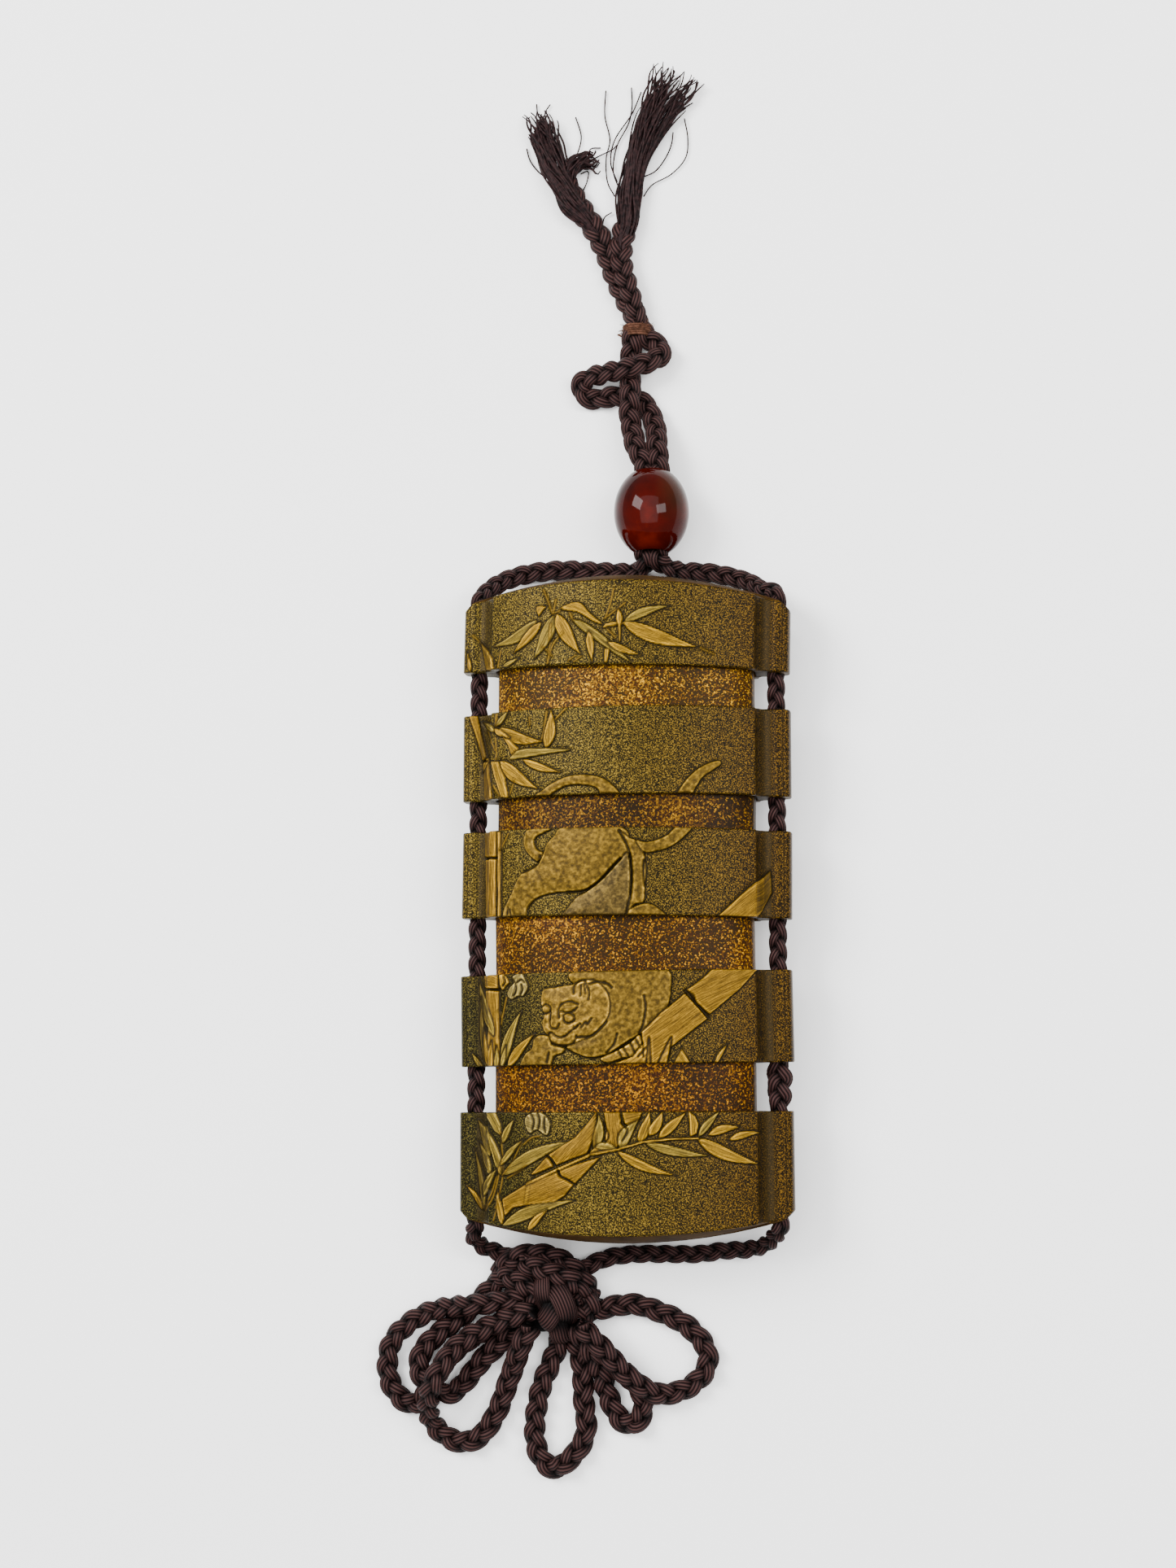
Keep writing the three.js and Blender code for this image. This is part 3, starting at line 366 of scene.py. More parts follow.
TIER_2_PICTURE: list[Form] = [
    straight(CULM, [(-25.38, 8.12), (-22.7, 7.74), (-22.71, 2.92), (-25.22, 3.02)]),
    straight(CULM, [(-25.06, 2.78), (-22.7, 2.61), (-22.62, -8.01), (-24.65, -7.77)]),
    straight(CULM, [(-22.52, 7.57), (-21.91, 7.54), (-21.66, -8.04), (-22.18, -8.02)]),
    rounded(FUR, [(-16.39, 7.68), (-12.25, 7.69), (-13.68, 6.96), (-14.91, 6.37), (-15.32, 5.45),
        (-14.8, 4.1), (-13.55, 3.28), (-14.52, 1.9), (-16.2, 3.05), (-17.15, 4.49), (-17.26, 6.15)]),
    rounded(FUR, [(-9.6, 7.93), (-11.53, 6.42), (-12.99, 4.83), (-13.62, 2.89), (-14.84, 1.13),
        (-17.42, -0.12), (-18.58, -1.56), (-19.24, -3.19), (-20.24, -5.11), (-20.99, -6.73),
        (-20.71, -8.03), (-16.97, -8.13), (-16.41, -6.39), (-14.76, -4.68), (-11.89, -3.85),
        (-9.06, -3.62), (-6.26, -3.47), (-4.68, -2.71), (-2.73, -1.18), (-1.18, 0.55), (0.44, 2.2),
        (1.91, 2.66), (2.28, 4.99), (0.39, 7.78)]),
    rounded(CHEST, [(-5.46, -3.67), (-2.65, -1.49), (0.45, 1.82), (1.75, 3.05), (2.24, 0.35),
        (2.2, -3.9), (1.47, -8.32), (-9.4, -8.46), (-8.63, -6.15), (-7.04, -4.43)]),
    rounded(FUR, [(0.24, 7.16), (1.88, 5.99), (3.82, 5.06), (4.68, 3.06), (5.01, 0.28), (4.88, -2.73),
        (4.67, -5.51), (3.14, -5.9), (1.77, -7.52), (2.36, -3.9), (2.56, -0.81), (2.3, 2.66),
        (1.35, 5.37)]),
    rounded(FUR, [(1.7, -8.36), (2.38, -6.79), (3.91, -6.01), (5.44, -5.77), (6.97, -6.38),
        (8.5, -8.32)]),
    rounded(FUR, [(3.28, 5.45), (4.59, 5.14), (6.5, 5.39), (8.6, 6.33), (10.3, 7.83), (12.94, 7.8),
        (11.07, 5.63), (8.99, 4.17), (6.9, 3.53), (4.68, 3.36)]),
    straight(CULM, [(17.15, -8.18), (21.23, -4.13), (26.38, 0.78), (26.62, -3.27), (24.14, -7.78)]),
    stalk(0.24, [(-21.9, 4.3), (-20.43, 7.15)]), stalk(0.2, [(-21.81, 4.46), (-21.64, 7.13)]),
    groove(0.32, [(-25.3, 3.1), (-22.53, 2.83)]),
    groove(0.36, [(0.44, 2.2), (-1.18, 0.47), (-2.73, -1.26), (-4.6, -2.79), (-6.26, -3.51),
        (-9.06, -3.7)]),
    groove(0.36, [(0.24, 7.09), (1.35, 5.3), (2.22, 3.05), (2.55, 0.15), (2.47, -3.51),
        (1.69, -7.67)]),
    groove(0.2, [(-20.2, -7.38), (-20.05, -6.21)]), groove(0.2, [(-19.52, -7.55), (-19.7, -6.61)]),
    groove(0.12, [(4.88, -2.73), (4.63, -0.42), (4.69, 1.9)]),
    groove(0.12, [(-14.04, 2.9), (-14.76, 1.17), (-17.34, -0.12)]),
]
TIER_3_PICTURE: list[Form] = [
    straight(CULM, [(-24.99, 8.29), (-22.05, 8.05), (-22.07, 5.64), (-24.69, 5.77)]),
    straight(CULM, [(-24.69, 5.46), (-21.9, 5.24), (-21.85, -8.69), (-23.75, -8.66)]),
    leaf(-21.42, -8.47, -17.59, 1.61, 1.76, 0.56, SILVER),
    leaf(-22.8, -2.76, -26.3, 7.44, 1.8, 0.4, SILVER), leaf(-24.8, -8.7, -25.9, 4.3, 1.1, 0.3, SILVER),
    leaf(-24.2, -8.6, -25.2, -1.2, 0.9, 0.2, GOLD), leaf(-23.6, -8.7, -23.3, -3.6, 1.1, 0.15, GOLD),
    leaf(-22.6, -8.7, -22.3, -4.6, 0.8, -0.1, SILVER), leaf(-25.4, -8.7, -27.8, -5.6, 1.0, 0.16, SILVER),
    leaf(-20.31, -8.49, -15.06, -2.54, 1.6, 0.4, GOLD),
    leaf(-21.59, -8.47, -20.53, -4.56, 0.8, 0, SILVER),
    rounded(GOLD, [(-21.73, 8.15), (-20.87, 8.06), (-20.24, 7.44), (-19.96, 6.53), (-20.59, 6.02),
        (-21.1, 5.32), (-21.59, 6.02), (-21.79, 7.16)]),
    rounded(FLOWER, [(-19.44, 7.44), (-18.44, 8.06), (-17.44, 8.43), (-16.81, 7.1), (-16.27, 5.88),
        (-16.59, 4.95), (-17.3, 4.18), (-18.3, 4.18), (-19.5, 3.62), (-20.24, 4.47), (-19.73, 5.74),
        (-19.01, 6.45)]),
    groove(0.2, [(-19.3, 7.44), (-18.59, 6.31), (-18.53, 5.03), (-19.01, 4.18)]),
    groove(0.2, [(-18.3, 6.59), (-17.44, 7.02), (-16.87, 6.59)]),
    groove(0.2, [(-17.73, 4.32), (-17.3, 5.17), (-17.44, 6.17)]),
    groove(0.16, [(-20.87, 7.72), (-20.59, 6.73), (-21.1, 6.02)]),
    rounded(FUR, [(-8.52, 7.81), (-1.41, 8.77), (8.47, 8.36), (9.42, 4.76), (8.65, 1.34),
        (7.25, -0.62), (4.18, -2.85), (2.25, -3.96), (-0.08, -5.44), (-2.1, -6.54), (-4.76, -7.03),
        (-7.11, -6.38), (-9.24, -5.04), (-5.49, -2.98), (-7.02, 0.87), (-6.97, 4.69)]),
    rounded(HEAD, [(-13.5, 4.42), (-12.92, 5.24), (-11.29, 5.43), (-9.27, 5.75), (-7.43, 5.93),
        (-5.68, 6.5), (-3.4, 6.14), (-1.48, 3.8), (-1.53, 0.37), (-3.92, -2.63), (-7.08, -4.17),
        (-9.48, -4.88), (-11.65, -4.53), (-12.52, -3.02), (-13.33, -1.85), (-13.39, -0.35),
        (-13.05, 0.56), (-13.6, 2.57)]),
    rounded(FUR, [(-17.69, -8.77), (-16.92, -6.26), (-15.58, -5.14), (-15.15, -3.53), (-13.91, -2.8),
        (-12.28, -3.29), (-11.89, -4.6), (-9.65, -5.26), (-9.98, -6.09), (-11.51, -6.67),
        (-12.75, -8.87)]),
    rounded(HEAD, [(-3.04, -7.13), (-0.08, -5.81), (2.24, -4.49), (3.72, -3.22), (4.23, -4.14),
        (3.83, -5.88), (2.36, -6.99), (0.75, -7.12), (-1.66, -7.91)]),
    straight(CULM, [(12.09, 4.57), (14.9, 6.61), (16.65, 8.28), (24.45, 8.4), (21.18, 4.66),
        (15.96, 0.27), (14.06, 2.04)]),
    straight(CULM, [(11.78, 3.97), (7.65, 0.6), (4.18, -2.77), (4.38, -4.67), (2.59, -6.92),
        (-1.66, -8.37), (-2.84, -9.11), (8.23, -9.27), (9.2, -5.42), (15.58, -0.49), (13.68, 1.85)]),
    straight(GOLD, [(9.45, -8.53), (11.07, -5.68), (12.74, -8.57)]),
    leaf(16.68, -8.55, 18.98, -4.85, 0.72, 0.16, GOLD), groove(0.32, [(-24.73, 5.65), (-21.99, 5.36)]),
    stalk(0.2, [(-21.59, -0.78), (-21.01, 1.77), (-20.44, 4.04)]),
    stalk(0.16, [(-21.5, 0.4), (-22.0, 1.77)]),
    swell(0.25, [(-13.36, 2.1), (-12.71, 2.43), (-11.98, 2.07), (-11.91, 1.3), (-12.64, 0.93),
        (-13.29, 1.18)]),
    swell(0.28, [(-9.96, 1.94), (-8.79, 2.44), (-7.39, 2.41), (-7, 1.94), (-7.61, 1.26),
        (-9.01, 1.07), (-9.73, 1.32)]),
    swell(0.3, [(-9.41, 0.54), (-8.53, 0.9), (-7.66, 0.42), (-7.59, -0.34), (-8.39, -0.86),
        (-9.19, -0.46)]),
    swell(0.35, [(-11.49, 2.32), (-10.92, 2.57), (-10.44, 1.91), (-10.32, -0.97), (-10.65, -1.65),
        (-11.61, -1.55), (-11.85, -0.74)]),
    swell(0.2, [(-13.38, 0.64), (-12.64, 0.85), (-11.91, 0.53), (-11.84, -0.24), (-12.66, -0.53),
        (-13.31, -0.05)]),
    swell(0.3, [(-13.32, -0.89), (-11.86, -1.39), (-11.14, -2.17), (-11.87, -2.77), (-12.88, -2.44)]),
    swell(0.35, [(-10.98, -2.18), (-9.84, -1.36), (-7.84, -1.41), (-7.06, -2.11), (-8.66, -3.11),
        (-10.18, -3.26)]),
    groove(0.2, [(-13.45, 2.03), (-12.71, 2.51), (-11.9, 2.06), (-11.82, 1.29), (-12.64, 0.89),
        (-13.37, 1.1)]),
    groove(0.28, [(-10.22, 0.1), (-10.29, 1.52), (-9.59, 2.54), (-8.19, 2.89), (-6.8, 2.39)]),
    groove(0.2, [(-9.89, 1.24), (-9.01, 0.99), (-7.61, 1.19), (-6.93, 1.86)]),
    groove(0.2, [(-9.41, 0.54), (-8.53, 0.9), (-7.58, 0.42), (-7.51, -0.42), (-8.39, -0.93),
        (-9.27, -0.53), (-9.42, 0.47)]),
    groove(0.2, [(-11.71, 0.98), (-11.93, -0.74), (-11.62, -1.63), (-10.65, -1.72), (-10.24, -0.97)]),
    groove(0.24, [(-12.44, -2.83), (-11.71, -2.47), (-10.75, -3.18), (-9.46, -3.28), (-7.65, -1.98),
        (-7.05, -1.42)]),
    groove(0.28, [(-12.28, -3.06), (-11.89, -4.07), (-10.28, -4.71), (-7.88, -4.38), (-7.23, -3.02)]),
    groove(0.16, [(-7.64, -1.41), (-7.45, -1.8), (-6.45, -1.05), (-6.26, -1.63), (-5.46, -0.69),
        (-5.23, -1.16), (-4.43, -0.14)]),
    groove(0.36, [(-7.23, -3.4), (-4.71, -3.22), (-3.05, -1.96), (-1.86, -0.77)]),
    groove(0.28, [(-7.57, 4.25), (-7.43, 5.78), (-5.76, 6.5), (-4.91, 4.64), (-4.93, 3.19)]),
    groove(0.16, [(-6.24, 5.75), (-6.38, 3.91)]), groove(0.16, [(-5.76, 5.89), (-5.39, 4.27)]),
    groove(0.32, [(-4.82, 5.94), (-3.4, 6.25), (-1.84, 5.95), (-0.84, 5.24)]),
    groove(0.28, [(4.75, 3.68), (4.97, 1.4), (4.51, -1.26), (3.72, -2.99)]),
    groove(0.16, [(-0.04, -2.89), (-0.64, -4.67), (-2.02, -6.24)]),
    groove(0.24, [(-9.48, -5.04), (-7.11, -6.45), (-4.76, -7.03), (-2.02, -6.54), (-0.08, -5.51),
        (2.25, -4.03)]),
    groove(0.2, [(1, -5.38), (1.9, -6.91)]), groove(0.2, [(2.24, -4.64), (3.06, -6.32)]),
    groove(0.16, [(0.07, -5.82), (0.67, -6.96)]), groove(0.16, [(3.25, -3.97), (3.98, -5.42)]),
    groove(0.16, [(-12.31, -5.89), (-12.74, -7.8)]),
    groove(0.4, [(11.86, 4.5), (13.12, 3.57), (13.62, 2.2), (14.57, 1.27), (15.8, -0.41)]),
    groove(0.2, [(4.93, -8.09), (5.46, -3.63), (5.69, -7.95)]),
    groove(0.2, [(6.97, -8.04), (9.35, -3.61), (8.63, -8.14)]),
    groove(0.16, [(4.34, -4.67), (4.49, -6.95)]), groove(0.16, [(3.54, -6.93), (4.9, -5.44)]),
    stalk(0.16, [(9.75, -8.54), (11.15, -5.68), (12.59, -8.57)]),
]
BOTTOM_BOX_PICTURE: list[Form] = [
    leaf(-23.58, 1.01, -26.47, 7.6, 2.16, -0.48, SILVER),
    leaf(-21.42, -2.32, -24.56, 6.35, 1.44, -0.4, SILVER),
    straight(SILVER, [(-24.88, 9.06), (-22.54, 9.07), (-21.42, 6.7), (-21.21, 4.55), (-22.63, 5.39)]),
    leaf(-21.08, 3.33, -18.79, 7.62, 1.2, 0.24, SILVER),
    leaf(-23.49, -2.27, -26.23, 3.65, 1.44, -0.32, SILVER),
    leaf(-25.03, -8.37, -27.02, 2.49, 1.12, -0.32, SILVER),
    leaf(-25.03, -5.99, -22.11, -1.11, 1.36, 0.4, SILVER),
    leaf(-25.35, -8.52, -28.61, -4.07, 0.96, -0.32, GOLD),
    leaf(-21.16, -10.98, -22.1, -4.85, 1.2, 0, GOLD),
    leaf(-21.08, -11.05, -7.54, -6.48, 2.08, 0.72, SILVER),
    leaf(-21.16, -2.32, -7.42, 3.9, 2.16, 0.8, SILVER),
    leaf(-21.42, -0.57, -16.96, 4.11, 1.04, 0.32, SILVER),
    leaf(-16.24, -11.78, -12.57, -8.18, 1.2, 0.24, GOLD),
    rounded(FLOWER, [(-16.54, 8), (-14.97, 8.83), (-13.5, 8.68), (-12.04, 6.93), (-12.69, 4.73),
        (-14.48, 5.71), (-15.88, 5.1), (-16.7, 6.55)]),
    groove(0.2, [(-15.6, 8.5), (-15.0, 7.2), (-15.3, 5.7)]),
    groove(0.2, [(-14.3, 8.6), (-13.9, 7.3), (-14.2, 5.9)]),
    groove(0.2, [(-13.0, 7.9), (-13.1, 6.6), (-12.9, 5.2)]),
    straight(CULM, [(-21.08, -6.43), (-16.22, -3.55), (-10.86, -1.69), (-9.75, -2.74), (-7.77, -3.78),
        (-9.36, -5.67), (-11.16, -6.74), (-15.82, -7.32), (-19.05, -7.91), (-20.57, -9.45)]),
    straight(CULM, [(-15.81, -2.26), (-12.62, 1.09), (-11.42, -0.64), (-14.5, -1.87)]),
    straight(CULM, [(-12.38, 1.32), (-7.58, 4.35), (-5.36, 6.69), (-3.56, 9.03), (-3.81, 5.03),
        (-5.39, 1.57), (-8.15, 0.66), (-10.86, -0.41)]),
    straight(CULM, [(-10.46, -1.31), (-6.97, -0.17), (-2.9, 1.04), (-7.61, -3.7), (-9.9, -2.44)]),
    straight(CULM, [(-2.39, 9.02), (0.46, 9.01), (0.68, 6.83), (1.82, 5.54), (0.89, 3.82),
        (-0.12, 2.54), (-2.11, 3.52), (-1.87, 6.15)]),
    straight(CULM, [(0.77, 9.01), (4.5, 8.99), (3.73, 7.04), (2.35, 5.92), (1.29, 6.9)]),
    leaf(-4.14, 2.24, -3.25, 8.57, 1.68, -0.56, SILVER), leaf(0.49, 2.24, 3.81, 7.34, 2, 0.56, SILVER),
    leaf(3.78, 3.43, 5.71, 8.99, 1.76, -0.24, GOLD), leaf(5.6, 4.63, 7.97, 8.98, 1.68, -0.24, GOLD),
    leaf(7.18, 4.24, 12.01, 8.73, 1.6, 0, GOLD),
    straight(GOLD, [(12.31, 8.95), (13.49, 7.97), (14.07, 6.61), (13.68, 4.96), (12.56, 4.36)]),
    leaf(13.98, 4.43, 17.73, 8.92, 1.28, 0.16, SILVER), leaf(15.68, 4.72, 21.15, 6.03, 1.44, 0.4, GOLD),
    leaf(19.21, 3.86, 24.54, 5.06, 1.2, 0.32, GOLD), leaf(13.75, 4.13, 24.31, -0.41, 2.16, -0.64, GOLD),
    leaf(4.84, 3.35, 15.86, 1.11, 1.6, -0.4, SILVER), leaf(-0.05, 1.94, 10.12, -2.22, 1.6, -0.64, GOLD),
    leaf(-5.16, 1.42, 0.11, 2.31, 1.36, 0.32, GOLD), leaf(-3.82, 2.77, 0.19, 2.31, 1.2, 0.32, SILVER),
    straight(GOLD, [(-5.36, 1.09), (0.07, 2.06), (4.65, 3.4), (9.89, 3.9), (14.05, 3.95),
        (14.04, 4.31), (9.87, 4.26), (4.58, 3.76), (-0.01, 2.42), (-5.42, 1.44)]),
    straight(GOLD, [(-16.46, -4), (-10.04, -1.15), (-4.83, 1.04), (-5.01, 1.49), (-10.23, -0.71),
        (-16.65, -3.56)]),
    stalk(0.36, [(-15.89, -3.32), (-16.19, -5.59), (-16.48, -7.41)]),
    stalk(0.16, [(-21.04, -2.43), (-19.05, 0.37), (-17.46, 3.5)]),
    stalk(0.16, [(-20.19, -2.8), (-17.46, -1.25), (-16.43, -0.48)]),
    stalk(0.16, [(-17.04, 3.12), (-15.59, 4.27), (-14.16, 4.57)]),
    groove(0.36, [(-12.78, 1.24), (-11.74, 0.49), (-11.26, -0.64)]),
    groove(0.36, [(-10.7, -1.31), (-10.22, -2.37), (-8.87, -2.88), (-7.61, -3.78)]),
    stalk(0.24, [(-24.79, -8.52), (-22.96, -6.08), (-21.46, -0.72)]),
    stalk(0.2, [(-25.19, -8.52), (-23.4, -5.71), (-22.32, -2.64)]),
    stalk(0.24, [(-21.46, 5.39), (-21.08, -2.24), (-22.53, -7.98)]),
    stalk(0.2, [(-22.96, -10.27), (-21.68, -6.44)]),
    groove(0.16, [(-2.4, 6.91), (-1.49, 4.65), (-2.11, 3.45)]),
    groove(0.2, [(0.68, 6.83), (1.82, 5.54), (0.89, 3.82)]), stalk(0.16, [(-3.79, 8.05), (-3.98, 2.39)]),
]
PICTURE: dict[str, list[Form]] = {
    "lid": LID_PICTURE,
    "tier_1": TIER_1_PICTURE,
    "tier_2": TIER_2_PICTURE,
    "tier_3": TIER_3_PICTURE,
    "bottom_box": BOTTOM_BOX_PICTURE,
}

# A plainer spray of bamboo on the back, seen from behind.
LID_BACK: list[Form] = [
    leaf(6, 3, 13, -3, 1.8, 0.5, GOLD), leaf(5, 3, 6, -4.5, 2.0, -0.3, SILVER),
    leaf(4.5, 3, -2, -3.5, 1.9, -0.5, GOLD), leaf(5, 3.5, -3, 4.5, 1.6, 0.4, SILVER),
]
TIER_1_BACK: list[Form] = [
    straight(CULM, [(8.5, 8.2), (11.0, 8.2), (9.8, -1.8), (7.2, -1.8)]),
    straight(CULM, [(7.1, -2.1), (9.7, -2.1), (8.7, -8.2), (6.1, -8.2)]),
    leaf(7, -1.8, -1, -6, 2.0, -0.5, GOLD), leaf(7, -1.5, -2, -0.5, 1.7, 0.5, SILVER),
    leaf(10, -1.8, 17, -5.5, 2.0, 0.5, GOLD),
]
TIER_2_BACK: list[Form] = [
    straight(CULM, [(5.9, 8.2), (8.5, 8.2), (7.2, 0.2), (4.6, 0.2)]),
    straight(CULM, [(4.5, -0.1), (7.1, -0.1), (5.8, -8.2), (3.2, -8.2)]),
    leaf(4.4, 0.2, -5, 3.5, 1.8, 0.4, GOLD), leaf(4.4, 0, -4, -4, 2.0, -0.5, SILVER),
]
TIER_3_BACK: list[Form] = [
    straight(CULM, [(3.0, 8.5), (5.6, 8.5), (3.4, -3.2), (0.8, -3.2)]),
    straight(CULM, [(0.7, -3.5), (3.3, -3.5), (2.4, -8.5), (-0.2, -8.5)]),
    leaf(3.5, -3.2, 12, 1.5, 2.0, -0.5, GOLD), leaf(3.6, -3.4, 11, -6.5, 1.9, 0.4, SILVER),
]
BOTTOM_BOX_BACK: list[Form] = [
    straight(CULM, [(-0.6, 9.0), (2.0, 9.0), (-1.2, -7.5), (-3.8, -7.5)]),
    leaf(-8, -8, -14, 5, 1.6, 0.8, SILVER), leaf(-7, -8, -7.5, 4, 1.5, -0.5, GOLD),
    leaf(-6, -8, 8, 0, 1.7, -0.8, GOLD), leaf(-9, -8, -19, -1, 1.5, 0.6, SILVER),
]
BACK: dict[str, list[Form]] = {
    "lid": LID_BACK,
    "tier_1": TIER_1_BACK,
    "tier_2": TIER_2_BACK,
    "tier_3": TIER_3_BACK,
    "bottom_box": BOTTOM_BOX_BACK,
}


def distance_to_line(p: Array, line: Array, closed: bool) -> Array:
    """Distance of each point from a line of straight runs.

    Args:
        p: The points, [x, y] each.
        line: The line's corners.
        closed: Whether its last corner joins its first.

    Returns:
        One distance for each point.
    """
    a = line if closed else line[:-1]
    b = np.roll(line, -1, 0) if closed else line[1:]
    best = np.full(len(p), 1e9)
    for s, e in zip(a, b):
        run = e - s
        t = np.clip(((p - s) @ run) / max(run @ run, 1e-12), 0, 1)
        best = np.minimum(best, ((p - s - t[:, None] * run) ** 2).sum(1))
    return np.sqrt(best)


def inside_outline(p: Array, line: Array) -> Array:
    """Whether each point lies inside a closed outline.

    Args:
        p: The points, [x, y] each.
        line: The outline's corners.

    Returns:
        True or False for each point.
    """
    odd = np.zeros(len(p), bool)
    for s, e in zip(line, np.roll(line, -1, 0)):
        if s[1] == e[1]:
            continue
        crosses = (s[1] > p[:, 1]) != (e[1] > p[:, 1])
        odd ^= crosses & (p[:, 0] < (e[0] - s[0]) * (p[:, 1] - s[1]) / (e[1] - s[1]) + s[0])
    return odd


def ease(x: Array) -> Array:
    """Smooth step from 0 to 1."""
    x = np.clip(x, 0, 1)
    return x * x * (3 - 2 * x)


def bell(x: Array, width: float) -> Array:
    """A soft bump of height 1 round x = 0."""
    return np.exp(-(x / width) ** 2)


@dataclass
class Relief:
    """The raised lacquer over a set of points: height, colour with painted highlights, painted shade in
    creases and cut lines, and brush direction.
    """

    points: Array
    margin: float = 0.8
    edge: float = 0.20
    foot_depth: float = 0.10
    foot_width: float = 0.22
    # Painted highlight just inside a raised form's edge: its width and how much brighter it is.
    rim_width: float = 0.13
    painted_rim_highlight: float = 1.5
    vein_width: float = 0.11
    vein_depth: float = 0.03
    groove_depth: float = 0.28
    groove_width: float = 0.19
    stalk_rise: float = 0.16
    swell_reach: float = 0.35
    fur_strokes: tuple[float, float] = (0.17, 3.4)

    def __post_init__(self) -> None:
        """Starts with a flat and unpainted surface."""
        count = len(self.points)
        self.height = np.zeros(count)
        self.tint = np.zeros((count, 4))
        self.crease_shade = np.zeros(count)
        self.brush = np.zeros((count, 3))
        self.bare = np.zeros(count)

    def near(self, line: Array) -> Array:
        """Indices of the points within the margin of a line's box."""
        low, high = line.min(0) - self.margin, line.max(0) + self.margin
        return np.nonzero(((self.points >= low) & (self.points <= high)).all(1))[0]

    def paint(self, forms: Sequence[Form]) -> Relief:
        """Lays the forms one over the other, the later ones on top.

        Args:
            forms: The picture's forms.

        Returns:
            This relief.
        """
        for number, form in enumerate(forms):
            at = self.near(form.points)
            if len(at) == 0:
                continue
            if form.kind is Kind.RAISED:
                self.raise_form(form, at, number)
            elif form.kind is Kind.SWELL:
                self.swell_form(form, at)
            else:
                self.draw_line(form, at)
        return self

    def raise_form(self, form: Form, at: Array, number: int) -> None:
        """Raises a shape with a soft edge, a domed top, a painted highlight just inside its edge and a
        painted shade line round its foot.

        Args:
            form: The shape.
            at: Indices of the points near it.
            number: Its number in the picture, which sets its brush lines apart.
        """
        p = self.points[at]
        away = distance_to_line(p, form.points, True)
        deep = np.where(inside_outline(p, form.points), away, -away)
        cover = ease(deep / self.edge + 0.40)
        dome, reach = DOME[form.tone]
        top = RISE[form.tone] + dome * (1 - np.exp(-np.maximum(deep, 0) / reach))
        # Painted shade: a dark line is laid in the dip round the form's foot.
        foot = bell(np.minimum(deep + self.foot_depth, 0), self.foot_width) * (deep < 0.05)
        self.height[at] = self.height[at] * (1 - cover) + top * cover - self.foot_depth * foot * (1 - cover)
        self.crease_shade[at] = np.maximum(self.crease_shade[at] * (1 - cover), foot * (1 - cover * 0.6))
        # Painted highlight: the colour is brightened in a band just inside the form's edge.
        rim_highlight = self.painted_rim_highlight * bell(deep - self.edge, self.rim_width)
        colour = np.column_stack([np.outer(1 + rim_highlight, form.tone.value), np.ones(len(p))])
        self.tint[at] += (colour - self.tint[at]) * ease(deep / 0.12 + 0.5)[:, None]
        self.brush_form(form, at, deep, cover, number)

    def brush_form(self, form: Form, at: Array, deep: Array, cover: Array,
                   number: int) -> None:
        """Turns the brush along a raised shape and cuts a leaf's vein.

        Args:
            form: The shape.
            at: Indices of the points near it.
            deep: How far inside the shape each of them lies.
            cover: How much of the shape each of them takes on.
            number: The shape's number in the picture.
        """
        off = self.points[at] - form.points.mean(0)
        axis = np.linalg.svd(form.points - form.points.mean(0), full_matrices=False)[2][0]
        lanes = off @ np.array([-axis[1], axis[0]])
        runs = off @ axis
        across, along = self.fur_strokes if form.tone in FUR_TONES else (1.0, 1.0)
        on = deep > -0.05
        strokes = np.stack([lanes * across, runs * along, np.full(len(at), number * 7.3)], 1)
        self.brush[at[on]] = strokes[on]
        if form.tone in LEAF_TONES:
            vein = bell(lanes, self.vein_width) * cover
            self.height[at] -= self.vein_depth * vein
            self.tint[at, :3] *= (1 - 0.4 * vein)[:, None]

    def swell_form(self, form: Form, at: Array) -> None:
        """Adds a soft swelling.

        Args:
            form: Its outline and rise.
            at: Indices of the points near it.
        """
        p = self.points[at]
        deep = distance_to_line(p, form.points, True) * inside_outline(p, form.points)
        self.height[at] += form.size * (1 - np.exp(-deep / self.swell_reach))

    def draw_line(self, form: Form, at: Array) -> None:
        """Cuts a groove with painted shade in it and a painted highlight beside it, or lays a thin raised
        line with painted shade along its sides.

        Args:
            form: The line.
            at: Indices of the points near it.
        """
        away = distance_to_line(self.points[at], form.points, False)
        line = bell(away, max(form.size * 0.75, self.groove_width))
        if form.kind is Kind.GROOVE:
            self.height[at] -= self.groove_depth * line
            # Painted shade darkens the groove.
            self.crease_shade[at] = np.maximum(self.crease_shade[at], np.minimum(1, 1.4 * line))
            # Painted highlight: a brighter band runs beside the groove.
            painted_edge_highlight = 0.8 * bell(away - 0.42, 0.15)
            self.tint[at, :3] *= (1 + painted_edge_highlight)[:, None]
        else:
            self.height[at] += self.stalk_rise * line
            colour = np.array([*Tone.GOLD.value, 1.0])
            self.tint[at] += (colour - self.tint[at]) * line[:, None]
            # Painted shade along both sides of the raised line.
            edge = bell(away - form.size * 1.1, 0.1)
            self.crease_shade[at] = np.maximum(self.crease_shade[at], 0.6 * edge)


# Meshes.

@dataclass
class Skin:
    """Points, faces and what is painted on them, ready to become a mesh."""

    points: Array
    faces: list
    slots: Array | None = None
    relief: Relief | None = None
    uv: Array | None = None
    deep: Array | None = None


def paint_points(mesh: bpy.types.Mesh, name: str, kind: str, key: str, values: Array) -> None:
    """Stores a value at each point of a mesh."""
    mesh.attributes.new(name, kind, "POINT").data.foreach_set(key, values.ravel())


